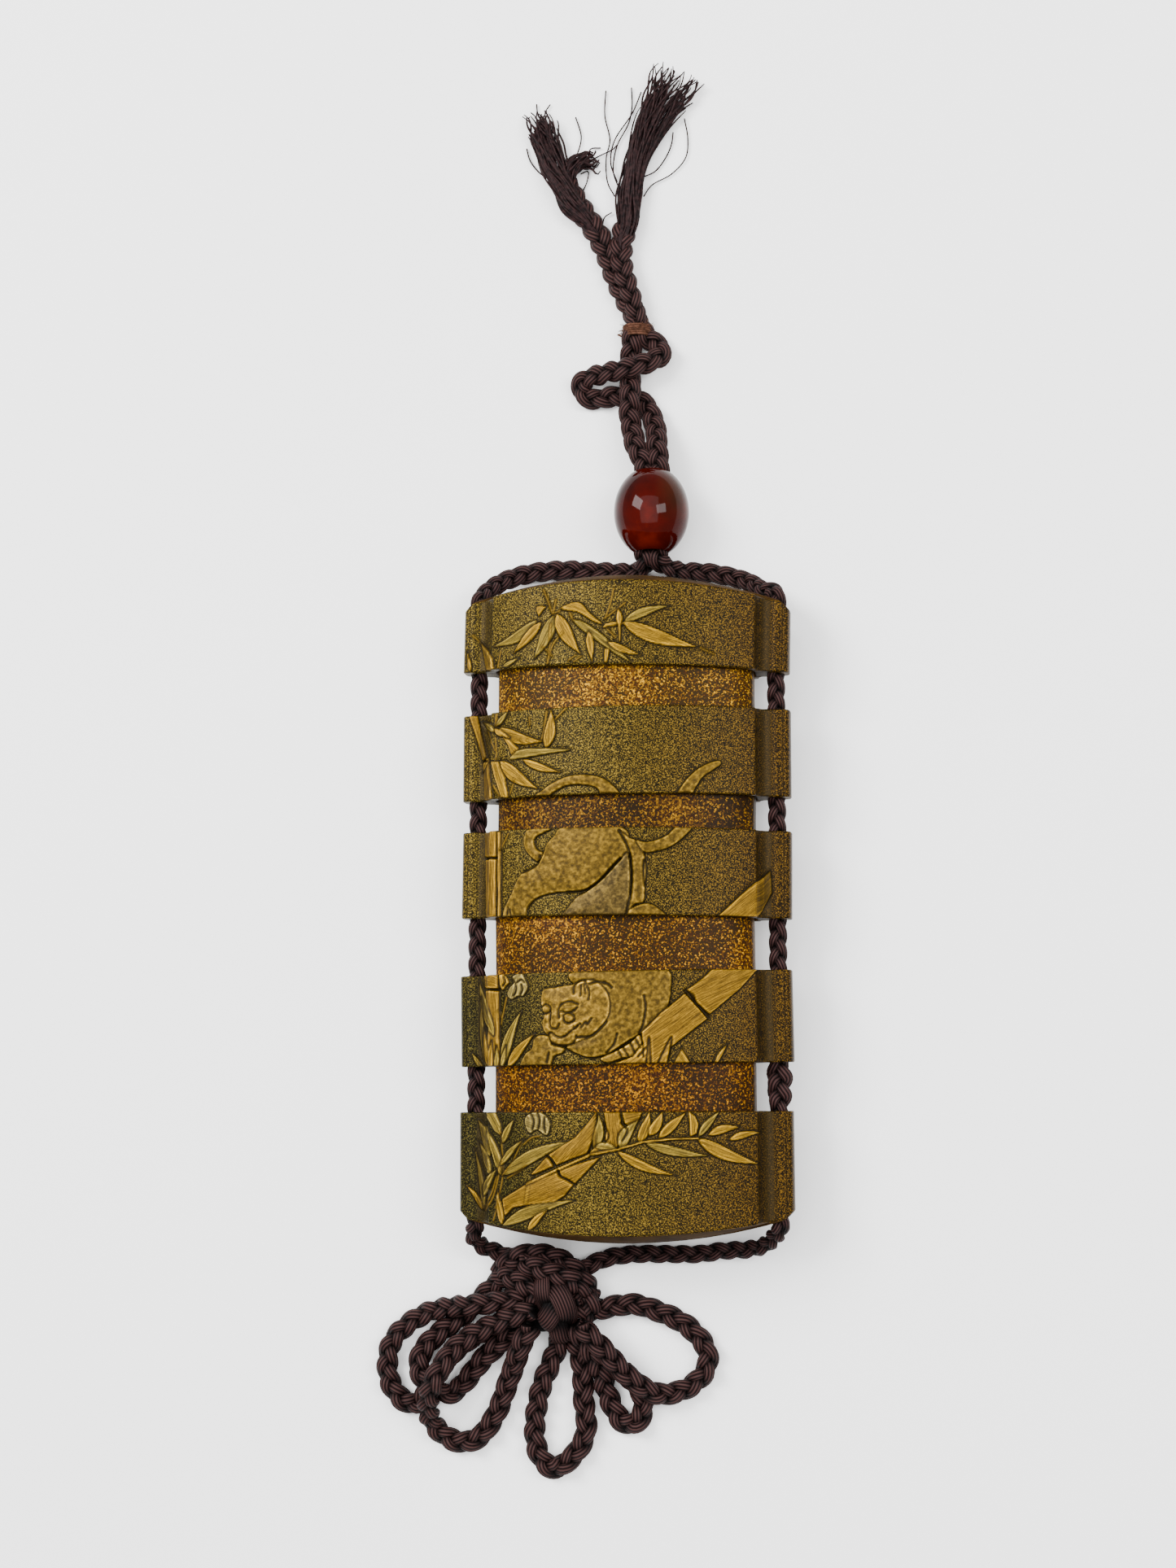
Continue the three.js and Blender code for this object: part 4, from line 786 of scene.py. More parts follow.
def make_object(name: str, skin: Skin, materials: Sequence[Material]) -> bpy.types.Object:
    """Makes a smooth-shaded mesh object from a skin, nothing of it lower than the floor it lies on.

    Args:
        name: The piece's name.
        skin: Its points in millimetres and its faces.
        materials: Its materials, in slot order.

    Returns:
        The linked object, at the origin, unturned and unscaled.
    """
    mesh = bpy.data.meshes.new(name)
    points = np.maximum(skin.points, [-np.inf, -np.inf, 0.0]) * MM
    mesh.from_pydata(points.tolist(), [], [list(map(int, f)) for f in skin.faces])
    for material in materials:
        mesh.materials.append(material)
    if skin.slots is not None:
        mesh.polygons.foreach_set("material_index", skin.slots.astype(np.int32))
    mesh.polygons.foreach_set("use_smooth", np.ones(len(mesh.polygons), bool))
    if skin.relief is not None:
        paint_points(mesh, "tint", "FLOAT_COLOR", "color", skin.relief.tint)
        paint_points(mesh, "crease_shade", "FLOAT", "value", skin.relief.crease_shade)
        paint_points(mesh, "bare", "FLOAT", "value", skin.relief.bare)
        paint_points(mesh, "brush", "FLOAT_VECTOR", "vector", skin.relief.brush)
    if skin.deep is not None:
        paint_points(mesh, "deep", "FLOAT", "value", skin.deep)
    if skin.uv is not None:
        mesh.uv_layers.new(name="yarn").data.foreach_set("uv", skin.uv.ravel())
    mesh.validate()
    mesh.update()
    item = bpy.data.objects.new(name, mesh)
    bpy.context.scene.collection.objects.link(item)
    return item


def hand_over(item: bpy.types.Object, node: str) -> None:
    """Tells the frame what a piece rides on, hides the node it replaces, and reports it.

    Args:
        item: The piece.
        node: The solid model's node that it replaces.
    """
    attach(item, ROOT)
    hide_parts(node)
    LOG.info("%s: %d faces", node, len(item.data.polygons))


def face_outward(skin: Skin) -> Skin:
    """Turns the faces over if they enclose a negative volume.

    Args:
        skin: A closed skin.

    Returns:
        The same skin, its faces outward.
    """
    volume = 0.0
    for face in skin.faces:
        a = skin.points[face[0]]
        for i in range(1, len(face) - 1):
            volume += float(np.dot(a, np.cross(skin.points[face[i]], skin.points[face[i + 1]])))
    if volume < 0:
        skin.faces = [list(face)[::-1] for face in skin.faces]
    return skin


# The case.

FRONT_CUTS = 190
BACK_CUTS = 96


class Coat(IntEnum):
    """The case's finishes, in slot order."""

    GROUND = 0
    FLAKES = 1
    PLAIN = 2


def resample(line: Array, count: int) -> Array:
    """Points evenly along an open line, its far end left off.

    Args:
        line: The line's own points.
        count: How many points there are to be.

    Returns:
        The new points.
    """
    far = np.concatenate([[0], np.cumsum(np.hypot(*np.diff(line, axis=0).T))])
    at = np.linspace(0, far[-1], count, endpoint=False)
    return np.stack([np.interp(at, far, line[:, k]) for k in range(2)], 1)


def ring_of(quarter: Array, floor: float | None = None) -> Array:
    """A whole section ring, anticlockwise.

    Args:
        quarter: Its front right quarter, from the side to the crown.
        floor: The lowest height that the back may reach.

    Returns:
        The ring's points, [x, z] each.
    """
    left = quarter[::-1] * [-1, 1]
    front = [resample(quarter, FRONT_CUTS), resample(left, FRONT_CUTS)]
    back = [resample(quarter * [-1, -1], BACK_CUTS), resample(left * [-1, -1], BACK_CUTS)]
    ring = np.concatenate(front + back)
    if floor is not None:
        ring[:, 1] = np.maximum(ring[:, 1], floor)
    return ring


def case_ring() -> Array:
    """The outer section, with fine ridges where flute, runner and outer bevel meet.

    Returns:
        The ring's points, [x, z] each.
    """
    foot, half = CASE.flute_foot, CASE.half
    edge, valley = CASE.face(CASE.face_half), 2.58
    turn = np.linspace(0, math.pi / 2, 40)
    bevel = np.stack([half - 1.1 + 1.1 * np.cos(turn), CASE.edge_half + 1.55 * np.sin(turn)], 1)
    across = np.linspace(half - 1.3, foot + 0.14, 24)
    bar = np.stack([across, 2.72 - 0.10 * ((across - foot - 1.0) / 0.85) ** 2], 1)
    flute = np.stack([foot - CASE.flute_width * np.sin(turn), edge - (edge - valley) * np.cos(turn)], 1)
    x = np.linspace(CASE.face_half, 0, 120)
    face = np.stack([x, [CASE.face(v) for v in x]], 1)
    quarter = np.concatenate([
        [[half, 0]], bevel, [[half - 1.15, 2.42], [half - 1.21, 2.56]], bar,
        [[foot + 0.06, 2.62]], flute, face[1:],
    ])
    return ring_of(quarter, -CASE.middle)


def lens_ring(half: float, inset: float) -> Array:
    """The section of a socket, riser or pocket.

    Args:
        half: Half its width.
        inset: How far it lies in from the face.

    Returns:
        The ring's points, [x, z] each.
    """
    turn = np.linspace(0, math.pi / 2, 200)
    x = half * np.cos(turn) ** 0.7
    x[-1] = 0
    rounding = (1 - np.minimum(1, x / half) ** 8) ** 0.2
    face = np.array([CASE.face(min(v, CASE.face_half)) for v in x])
    return ring_of(np.stack([x, (face - inset) * rounding], 1))


def ring_normals(ring: Array) -> Array:
    """Outward normals of an anticlockwise ring."""
    run = np.roll(ring, -1, 0) - np.roll(ring, 1, 0)
    normal = np.stack([run[:, 1], -run[:, 0]], 1)
    return normal / np.maximum(np.hypot(*normal.T), 1e-9)[:, None]


def arch(x: Array) -> Array:
    """How far the case's end runs past its corner at x."""
    across = np.abs(x)
    corner = CASE.corner_rise * np.clip((CASE.half - across) / CASE.corner_cut, 0, 1)
    return corner + CASE.end_arch * (1 - np.minimum(1, across / (CASE.half - CASE.corner_cut)) ** 2)


class Loft:
    """Rings joined into one closed skin, from a first centre point to a last one."""

    def __init__(self) -> None:
        """Starts without rings."""
        self.rings: list[Array] = []
        self.slots: list[int] = []

    def add(self, ring: Array, y: Array | float, coat: Coat) -> int:
        """Adds a ring.

        Args:
            ring: Its points, [x, z] each.
            y: Where it lies along the case.
            coat: The finish from the last ring to this one.

        Returns:
            The ring's number.
        """
        height = np.broadcast_to(y, len(ring))
        self.rings.append(np.stack([ring[:, 0], height, ring[:, 1]], 1))
        self.slots.append(int(coat))
        return len(self.rings) - 1

    def skin(self) -> Skin:
        """Joins the rings.

        Returns:
            The closed skin, both end rings filled with a fan.
        """
        count = len(self.rings[0])
        points = np.concatenate(self.rings)
        here = np.arange(count)
        ahead = (here + 1) % count
        faces, slots = [], []
        for k in range(len(self.rings) - 1):
            a, b = k * count, (k + 1) * count
            faces.extend(np.stack([a + here, a + ahead, b + ahead, b + here], 1).tolist())
            slots.extend([self.slots[k + 1]] * count)
        for k, slot in ((0, self.slots[0]), (len(self.rings) - 1, self.slots[-1])):
            middle = points[k * count:(k + 1) * count].mean(0)
            points = np.concatenate([points, [middle]])
            pole = len(points) - 1
            for i in range(count):
                pair = [k * count + i, k * count + (i + 1) % count]
                faces.append([pole, *(pair[::-1] if k == 0 else pair)])
            slots.extend([slot] * count)
        return Skin(points, faces, np.array(slots))


@dataclass
class CasePart:
    """One part of the case: its band with the picture, and its riser, socket and pocket."""

    band: Band
    soft_edge: float = 0.14
    row_step: float = 0.18
    mouth: float = 0.2
    flare: float = 1.006
    flat_steps: tuple = (0.35, 0.7, 1.0)
    end_steps: tuple = (0.985, 0.95, 0.9, 0.8, 0.65, 0.5, 0.35, 0.2, 0.06)
    roof_steps: tuple = (0.03, 0.3, 0.6, 0.85, 1.0)
    # Across the case: the bare flute, the two ridges with their widths, and the face's corner; thin lines of
    # painted shade lie along the ridges and the corner.
    bare_band: tuple[float, float] = (24.75, 26.75)
    ridges: tuple = ((28.75, 0.10), (26.95, 0.12))
    corner_band: tuple[float, float] = (23.8, 24.95)

    def __post_init__(self) -> None:
        """Works out the part's rings."""
        self.low = -self.band.height / 2
        self.high = self.band.height / 2
        self.case = case_ring()
        self.normals = ring_normals(self.case)
        inset, gap, wall = CASE.shell_wall, CASE.clearance, CASE.riser_wall
        half = CASE.face_half - CASE.edge_wall
        self.socket = lens_ring(half, inset)
        self.riser = lens_ring(half - gap, inset + gap)
        self.pocket = lens_ring(half - gap - wall, inset + gap + wall)
        self.loft = Loft()
        self.rows: list[int] = []

    def build(self, materials: Sequence[Material]) -> None:
        """Makes the part and hands it to the frame."""
        shape = {Part.LID: self.lid, Part.TIER: self.tier, Part.BOTTOM: self.bottom}[self.band.part]
        item = make_object(self.band.name + "_lacquer", shape(), materials)
        hand_over(item, self.band.name)

    @staticmethod
    def flat(level: float) -> Edge:
        """An edge that runs straight across."""
        return lambda x: np.full(len(x), level)

    def face_rows(self, low: Edge, high: Edge) -> None:
        """The outer wall, with a small round at each edge and fine rows for the picture.

        Args:
            low: Gives the lower edge at each x.
            high: Gives the upper edge at each x.
        """
        x = self.case[:, 0]
        start, end = low(x), high(x)
        soft = self.soft_edge
        self.loft.add(self.case - self.normals * soft, start, Coat.GROUND)
        count = max(4, int(self.band.height / self.row_step))
        for t in np.linspace(0, 1, count):
            y = (start + soft) * (1 - t) + (end - soft) * t
            self.rows.append(self.loft.add(self.case, y, Coat.GROUND))
        self.loft.add(self.case - self.normals * soft, end, Coat.GROUND)

    def add_mouth(self) -> None:
        """The socket's lowest stretch, a little wider at its mouth."""
        self.loft.add(self.socket, self.low + self.mouth, Coat.FLAKES)
        self.loft.add(self.socket * self.flare, self.low, Coat.FLAKES)

    def add_riser(self) -> None:
        """The riser above the band and the mouth of the pocket inside it."""
        top = self.high + CASE.riser_rise
        self.loft.add(self.riser, self.high, Coat.GROUND)
        for share in (0.02, 0.35, 0.7, 0.97):
            self.loft.add(self.riser, self.high + share * CASE.riser_rise, Coat.FLAKES)
        self.loft.add(self.riser * 0.993, top, Coat.FLAKES)
        self.loft.add(self.pocket * 1.01, top, Coat.FLAKES)
        self.loft.add(self.pocket, top - 0.3, Coat.FLAKES)

    def tier(self) -> Skin:
        """A box with a socket below and a riser on top.

        Returns:
            Its skin, in place.
        """
        roof = self.low + CASE.socket_depth
        for scale in self.flat_steps:
            self.loft.add(self.socket * scale, roof, Coat.FLAKES)
        self.add_mouth()
        self.face_rows(self.flat(self.low), self.flat(self.high))
        self.add_riser()
        for scale in reversed(self.flat_steps):
            self.loft.add(self.pocket * scale, roof + CASE.floor, Coat.FLAKES)
        return self.finished()

    def lid(self) -> Skin:
        """The lid, with its arched and domed top and the hollow under it.

        Returns:
            Its skin, in place.
        """
        level = self.high - CASE.end_wall
        for scale in self.roof_steps:
            ring = self.pocket * scale
            self.loft.add(ring, level + arch(ring[:, 0]) + CASE.lid_dome * (1 - scale ** 2), Coat.FLAKES)
        roof = min(self.low + CASE.socket_depth, level)
        self.loft.add(self.pocket, roof, Coat.FLAKES)
        self.loft.add(self.socket, roof, Coat.FLAKES)
        self.add_mouth()
        self.face_rows(self.flat(self.low), lambda x: self.high + arch(x))
        for scale in self.end_steps:
            ring = self.case * scale
            self.loft.add(ring, self.high + (arch(ring[:, 0]) + CASE.lid_dome * (1 - scale ** 2)), Coat.PLAIN)
        return self.finished()

    def bottom(self) -> Skin:
        """The bottom box, with its domed foot.

        Returns:
            Its skin, in place.
        """
        for scale in reversed(self.end_steps):
            ring = self.case * scale
            self.loft.add(ring, self.low - arch(ring[:, 0]) - CASE.base_dome * (1 - scale ** 2), Coat.PLAIN)
        self.face_rows(lambda x: self.low - arch(x), self.flat(self.high))
        self.add_riser()
        level = self.low + CASE.end_wall
        for scale in reversed(self.roof_steps):
            ring = self.pocket * scale
            self.loft.add(ring, level - arch(ring[:, 0]) - CASE.base_dome * (1 - scale ** 2), Coat.FLAKES)
        return self.finished()

    def finished(self) -> Skin:
        """Raises the picture on the outer rows and lays the part in its place.

        Returns:
            The part's skin, its faces outward.
        """
        skin = self.loft.skin()
        index = (np.array(self.rows)[:, None] * len(self.case) + np.arange(len(self.case))).ravel()
        places = skin.points[index]
        relief = self.painted(skin.points, index, places)
        normals = np.tile(self.normals, (len(self.rows), 1))
        on_land = places[:, 2] <= -CASE.middle + 0.35
        lift = np.where(on_land, 0.0, relief.height[index])
        facing = np.minimum(np.abs(normals[:, 1]) * 1.6, 1)
        skin.points[index, 0] += normals[:, 0] * lift * facing
        skin.points[index, 2] += normals[:, 1] * lift * facing
        skin.relief = relief
        turn = math.radians(self.band.skew)
        x, y = skin.points[:, 0].copy(), skin.points[:, 1].copy()
        skin.points[:, 0] = x * math.cos(turn) - y * math.sin(turn)
        skin.points[:, 1] = x * math.sin(turn) + y * math.cos(turn) + self.band.middle
        skin.points[:, 2] += CASE.middle
        return face_outward(skin)

    def painted(self, points: Array, index: Array, places: Array) -> Relief:
        """Paints the picture on the front, the spray on the back and painted shade along the ridges and the
        face's corner.

        Args:
            points: All the part's points.
            index: Which of them are on the outer rows.
            places: Where those lie.

        Returns:
            The relief over all the points.
        """
        relief = Relief(np.full((len(points), 2), 999.0))
        front = places[:, 2] > 0.05
        for side, forms in ((front, PICTURE[self.band.name]), (~front, BACK[self.band.name])):
            at = index[side]
            part = Relief(points[at][:, :2]).paint(forms)
            relief.height[at] = part.height
            relief.tint[at] = part.tint
            relief.crease_shade[at] = part.crease_shade
            relief.brush[at] = part.brush
        across = np.abs(places[:, 0])
        inner, outer = self.bare_band
        relief.bare[index] = ease((across - inner) / 0.25) * ease((outer - across) / 0.25)
        # Painted shade: thin dark lines along the two ridges and the face's corner.
        ridge = sum(bell(across - place, width) for place, width in self.ridges)
        inner, outer = self.corner_band
        corner = ease((across - inner) / 0.5) * ease((outer - across) / 0.3)
        painted_edge_shade = np.maximum(0.6 * ridge, 0.55 * corner)
        relief.crease_shade[index] = np.maximum(relief.crease_shade[index], painted_edge_shade)
        return relief


# Cords.

# Points on the cords' middle lines, in millimetres.
ROUTES: dict[str, list] = {
    "left_upper": [[-0.1, 108, 2.4], [-0.4, 105.6, 1.9], [-0.7, 103.2, 1.5], [-0.4, 100.3, 2.6],
        [-0.1, 96.8, 4.7], [-0.3, 92.8, 4.4], [0.4, 89.2, 4.8], [1.1, 86.3, 6.2]],
    "left_over": [[2.3, 63.3, 4], [-1, 63.2, 2.2], [-6.1, 63.6, 1.6], [-13.5, 64.1, 1.6],
        [-19.6, 63.5, 2.4], [-24.1, 61.5, 5.2], [-26.5, 58.9, 8.6]],
    "left_lower": [[-28.3, -59.4, 8.2], [-27.2, -61.4, 5.2], [-24.3, -62.8, 3], [-21.6, -63.9, 2.6],
        [-18.8, -65.1, 3.4]],
    "right_upper": [[3.2, 108.2, 2.2], [4.9, 106.8, 2.4], [5.6, 105, 3], [4.5, 103.6, 4], [0.5, 102, 5.3],
        [-3.7, 101.5, 4.4], [-7.1, 101.1, 3.4], [-9.2, 100.6, 2.7], [-9.9, 99.4, 2.2], [-9.4, 97.9, 1.8],
        [-7.4, 97.1, 1.5], [-4.4, 97.5, 1.4], [-2.1, 97.4, 1.4], [0.4, 97.1, 1.4], [2.3, 95.5, 1.7],
        [3.9, 92.4, 2.8], [4.8, 89.1, 4.4], [5.1, 86.1, 6.2]],
    "right_over": [[8.1, 63, 4.4], [10.7, 62.9, 2.4], [13.7, 62.8, 1.8], [18.1, 61.9, 1.9],
        [22.1, 60.2, 4], [25.4, 57.5, 8.6]],
    "right_lower": [[26.3, -58.8, 8.2], [24.3, -60.6, 5.4], [20.9, -61.6, 3], [16.1, -62, 1.9],
        [12.2, -62.6, 1.6], [6.8, -62.7, 1.6], [0.1, -62.8, 1.6], [-4.3, -63.4, 2], [-7.3, -64.5, 3],
        [-9.7, -65.9, 4]],
    "end": [[1, 111.5, 2.2], [-0.8, 115.5, 1.9], [-3.1, 120.5, 1.8], [-4.5, 124.4, 1.8],
        [-6.6, 129.1, 1.7], [-10.1, 134.8, 1.6], [-12.5, 138.9, 1.6], [-13.1, 140.2, 1.6]],
    "loop_1": [[-18.9, -70.6, 4.9], [-26, -71.6, 5.3], [-29.6, -72, 5.3], [-33.5, -72.5, 3.6],
        [-37.7, -73.6, 2], [-41.7, -75.9, 1.9], [-44.6, -79.1, 1.9], [-45.4, -83.4, 1.9],
        [-44.5, -87, 1.9], [-42, -89.7, 1.8], [-39.6, -90, 1.7], [-38, -87.9, 1.7], [-36, -84.4, 1.7],
        [-33.2, -80.9, 1.7], [-29.6, -78, 1.7], [-25.7, -76.1, 1.7]],
    "loop_2": [[-23, -66.6, 3.2], [-25.9, -68.8, 1.7], [-29.6, -72.6, 1.6], [-32.6, -75, 1.6],
        [-35.6, -77.2, 1.8], [-38.1, -79.7, 2.8], [-38.9, -82.1, 4.4], [-38.2, -84.6, 5.5],
        [-35.9, -86.6, 5.6], [-33.9, -87.9, 4.6], [-32, -87.2, 2.8], [-29.9, -84.8, 2.1],
        [-27.4, -81.7, 2], [-24.3, -78.9, 2.4], [-21.2, -76.2, 3.2]],
    "loop_3": [[-17.5, -72.3, 7], [-21, -73.7, 6.6], [-24.9, -75.3, 5.4], [-28.8, -77.2, 5.3],
        [-32, -79.7, 6], [-33.9, -82.7, 8.6], [-35.5, -86, 9.3], [-36.8, -90.1, 6], [-36.5, -93.5, 2.8],
        [-34.2, -95.8, 1.9], [-31.3, -96.7, 1.9], [-28.3, -95.8, 1.9], [-26, -93.1, 1.9],
        [-24.3, -89.8, 1.9], [-23.1, -86.5, 2.2], [-21.7, -83.2, 3.4], [-20.4, -80.3, 5.4],
        [-19.2, -77.7, 6.6], [-17.8, -75.5, 7]],
    "loop_4": [[-12.8, -76.3, 3.4], [-13.9, -79.5, 2], [-15.2, -82.7, 1.9], [-16.6, -86, 1.9],
        [-17.4, -89.2, 1.9], [-17.9, -92.5, 1.9], [-17.9, -95.7, 1.9], [-17.2, -98.4, 1.9],
        [-15.9, -100.2, 1.9], [-14.1, -100.9, 1.9], [-12.2, -99.8, 1.9], [-10.3, -97.9, 1.9],
        [-8.9, -95.5, 1.9], [-8.5, -92.7, 1.9], [-8.9, -90, 1.9], [-9.1, -87.3, 1.9], [-9.2, -84.4, 1.9],
        [-9.6, -81.7, 1.8], [-10.2, -79.3, 1.7], [-11.2, -77.3, 1.8]],
    "loop_5": [[-10.4, -75.5, 4.9], [-8.6, -77.8, 5], [-6.9, -80.4, 4.8], [-5.6, -83.8, 3.2],
        [-4.8, -87.2, 1.9], [-3.5, -90.3, 1.9], [-1.8, -92.5, 1.9], [0.1, -92.8, 1.9], [1.6, -91.1, 1.8],
        [1.8, -88.8, 1.7], [1, -86.6, 1.7], [-0.5, -84.9, 1.7], [-2, -83.2, 1.7]],
    "loop_6": [[-10.4, -72.1, 5.2], [-5.9, -72.5, 2.6], [-2.7, -71.9, 1.9], [0.6, -71.7, 1.9],
        [3.8, -72.6, 1.9], [6.8, -73.7, 1.9], [9.6, -75.2, 1.9], [11.9, -77.3, 1.9], [13.4, -79.7, 1.9],
        [13.4, -82.3, 1.9], [12, -84.6, 1.9], [9.5, -86.4, 2], [6.3, -87.3, 2.8], [3.5, -86.8, 4.4],
        [0.9, -85, 5.6], [-1.7, -82.7, 6.2], [-3.7, -80.2, 7.2], [-6, -77.7, 8], [-8.5, -75.2, 8]],
}
# The frayed ends: bundles of [x, y, z, half width] and stray threads.
LEFT_BUNDLE = [
    [-6.8, 129, 1.7, 0.9], [-9, 132.2, 2.2, 1.5], [-11.4, 135.1, 2.6, 2.3],
    [-13.4, 139.6, 2.7, 2.5], [-15.4, 144.1, 2.3, 2.87], [-16.8, 148.1, 2, 2.87],
    [-17.9, 152, 1.6, 2.36], [-18.5, 155, 1.2, 2.05],
]
LEFT_SIDE_BUNDLE = [
    [-13.5, 139, 1.9, 1.54], [-12.2, 142.3, 1.9, 1.59], [-10.6, 144.1, 1.7, 1.59],
    [-8.4, 144.6, 1.4, 1.59], [-6.6, 144.8, 1.1, 1.49],
]
RIGHT_BUNDLE = [
    [-2.3, 124, 2.2, 0.9], [-2, 127.4, 2.1, 1.6], [-0.9, 131.6, 2.2, 2.36],
    [-0.6, 136, 2.2, 2.51], [0.2, 140.1, 2.2, 2.21], [1.1, 144.2, 2.2, 2.57],
    [2.8, 148.6, 2.1, 3.21], [5, 153, 1.9, 3.85], [7.5, 157.1, 1.7, 4.49],
    [9.7, 160.8, 1.4, 5],
]
RIGHT_STRAYS = [
    [[-4.9, 127.6, 1.6], [-5.9, 130.6, 1], [-5.6, 133.2, 0.6], [-4.2, 134.1, 0.6]],
    [[-3.5, 136.9, 1.6], [-5, 140.1, 0.8], [-5.3, 145.2, 0.5], [-4.6, 148.6, 0.5],
     [-5.6, 153.7, 0.5], [-5.4, 158.7, 0.5]],
    [[-2.7, 138.5, 1.6], [-3.9, 142.3, 0.8], [-3.2, 147.4, 0.5], [-1, 151.7, 0.5],
     [-0.3, 155, 0.5], [-0.4, 159, 0.5]],
    [[-3, 139.7, 1.6], [-4.4, 144, 0.8], [-3.7, 148.5, 0.5], [-0.2, 153.9, 0.5],
     [1.5, 158, 0.5]],
    [[2.1, 136.6, 1.6], [3.6, 139.1, 0.7], [7.4, 141.2, 0.5], [10.1, 144.3, 0.5],
     [10.5, 148.2, 0.5], [9.9, 152, 0.8]],
    [[2.1, 140.5, 1.6], [4.2, 141.8, 0.7], [6.3, 144.6, 0.5], [7.4, 147.3, 0.5], [7.7, 149.4, 0.8]],
]
LEFT_STRAYS = [
    [[-16.3, 141, 1.5], [-18.7, 143.2, 0.6], [-20.3, 145.6, 0.5], [-20.9, 147.9, 0.5]],
    [[-12.5, 142.5, 1.5], [-11, 146.1, 0.6], [-10.2, 149.5, 0.5], [-11.3, 153.7, 0.5]],
    [[-10.1, 141.8, 1.5], [-8.8, 142.6, 0.6], [-9.1, 140.4, 0.5], [-9.8, 138.8, 0.5]],
    [[-8.7, 144.2, 1.5], [-6.1, 145.8, 0.6], [-4, 146.8, 0.5], [-3.2, 147.6, 0.5]],
    [[-8.7, 145.1, 1.5], [-8.3, 147.1, 0.6], [-6.4, 147.2, 0.5]],
    [[-16.9, 151.7, 1.5], [-18.7, 154.7, 0.6], [-19, 156.8, 0.5]],
    [[-16.6, 152, 1.5], [-17.3, 154.9, 0.6], [-16.3, 156.6, 0.5]],
]
RIGHT_ROOT = [
    [1.4, 110.9, 2.6], [0.5, 114, 2.9], [-0.5, 117.5, 3.1], [-1.6, 121, 2.9],
    [-2.2, 124.5, 2.5], [-2, 128, 2.3], [-1.4, 131, 2],
]
BEAD_PLACE = (4.2, 73.4, 6.92)
BINDING_PLACE = (0.9, 109.8, 2.0)
KNOT_PLACE = (-16.5, -70.2, 3.0)
# Roughly up, for threads that lie on the floor.
THREAD_UP = np.array([0, 0.05, 1.0])


def through_bead(side: int) -> list:
    """The run of a cord through the bead."""
    x, y, z = BEAD_PLACE
    return [[x + side * 1.37, y + dy, z] for dy in (9.05, 0, -9.05)]


def through_case(side: int) -> list:
    """The run of a cord through the runners of the case.

    Args:
        side: -1 for the left runners and 1 for the right ones.

    Returns:
        The run's points, from the lid to the bottom box.
    """
    lid, base = BANDS["lid"], BANDS["bottom_box"]
    clear = CASE.corner_rise + 1.5
    stops = [lid.bottom + lid.height + clear, lid.bottom]
    stops += [BANDS[name].bottom for name in ("tier_1", "tier_2", "tier_3")]
    stops += [base.bottom, base.bottom - clear]
    return [[side * CASE.channel_x, y, CASE.middle] for y in stops]


def distances(path: Array) -> Array:
    """How far along a line of points each of them lies."""
    return np.concatenate([[0], np.cumsum(np.linalg.norm(np.diff(path, axis=0), axis=1))])


def blend(a: Array, b: Array, start: float, end: float, t: Array) -> Array:
    """What lies at t between a at the start and b at the end."""
    return (end - t) / (end - start) * a + (t - start) / (end - start) * b


def smooth_path(points: Route, step: float) -> Array:
    """A centripetal curve through the points, sampled evenly.

    Args:
        points: The points, [x, y, z] each.
        step: How far apart its own points lie.

    Returns:
        The curve's points.
    """
    p = np.asarray(points, float)
    p = np.concatenate([[2 * p[0] - p[1]], p, [2 * p[-1] - p[-2]]])
    out = []
    for i in range(1, len(p) - 2):
        a, b, c, d = p[i - 1:i + 3]
        t0 = 0.0
        t1 = t0 + max(np.linalg.norm(b - a), 1e-6) ** 0.5
        t2 = t1 + max(np.linalg.norm(c - b), 1e-6) ** 0.5
        t3 = t2 + max(np.linalg.norm(d - c), 1e-6) ** 0.5
        t = np.linspace(t1, t2, 24, endpoint=False)[:, None]
        ab, bc, cd = blend(a, b, t0, t1, t), blend(b, c, t1, t2, t), blend(c, d, t2, t3, t)
        out.append(blend(blend(ab, bc, t0, t2, t), blend(bc, cd, t1, t3, t), t1, t2, t))
    line = np.concatenate([*out, [p[-2]]])
    far = distances(line)
    at = np.linspace(0, far[-1], max(4, int(far[-1] / step)) + 1)
    return np.stack([np.interp(at, far, line[:, k]) for k in range(3)], 1)


def unit(v: Array) -> Array:
    """Vectors at length one."""
    return v / np.maximum(np.linalg.norm(v, axis=1), 1e-9)[:, None]


def side_and_up(path: Array, first: Array) -> tuple[Array, Array]:
    """Directions across a path, carried on smoothly from a first up direction.

    Args:
        path: The path's points.
        first: Roughly up, at its first point.

    Returns:
        The side and up directions at each point.
    """
    tangent = unit(np.gradient(path, axis=0))
    up = np.zeros_like(path)
    last = first
    for i, t in enumerate(tangent):
        v = last - t * (last @ t)
        last = v / max(np.linalg.norm(v), 1e-9)
        up[i] = last
    return np.cross(tangent, up), up


def steady_up(path: Array) -> tuple[Array, Array]:
    """Directions across a path, up being as near straight up as it can.

    Args:
        path: The path's points.

    Returns:
        The side and up directions at each point.
    """
    tangent = unit(np.gradient(path, axis=0))
    up = unit(np.array([0, 0, 1.0]) - tangent * tangent[:, 2:3])
    return np.cross(tangent, up), up


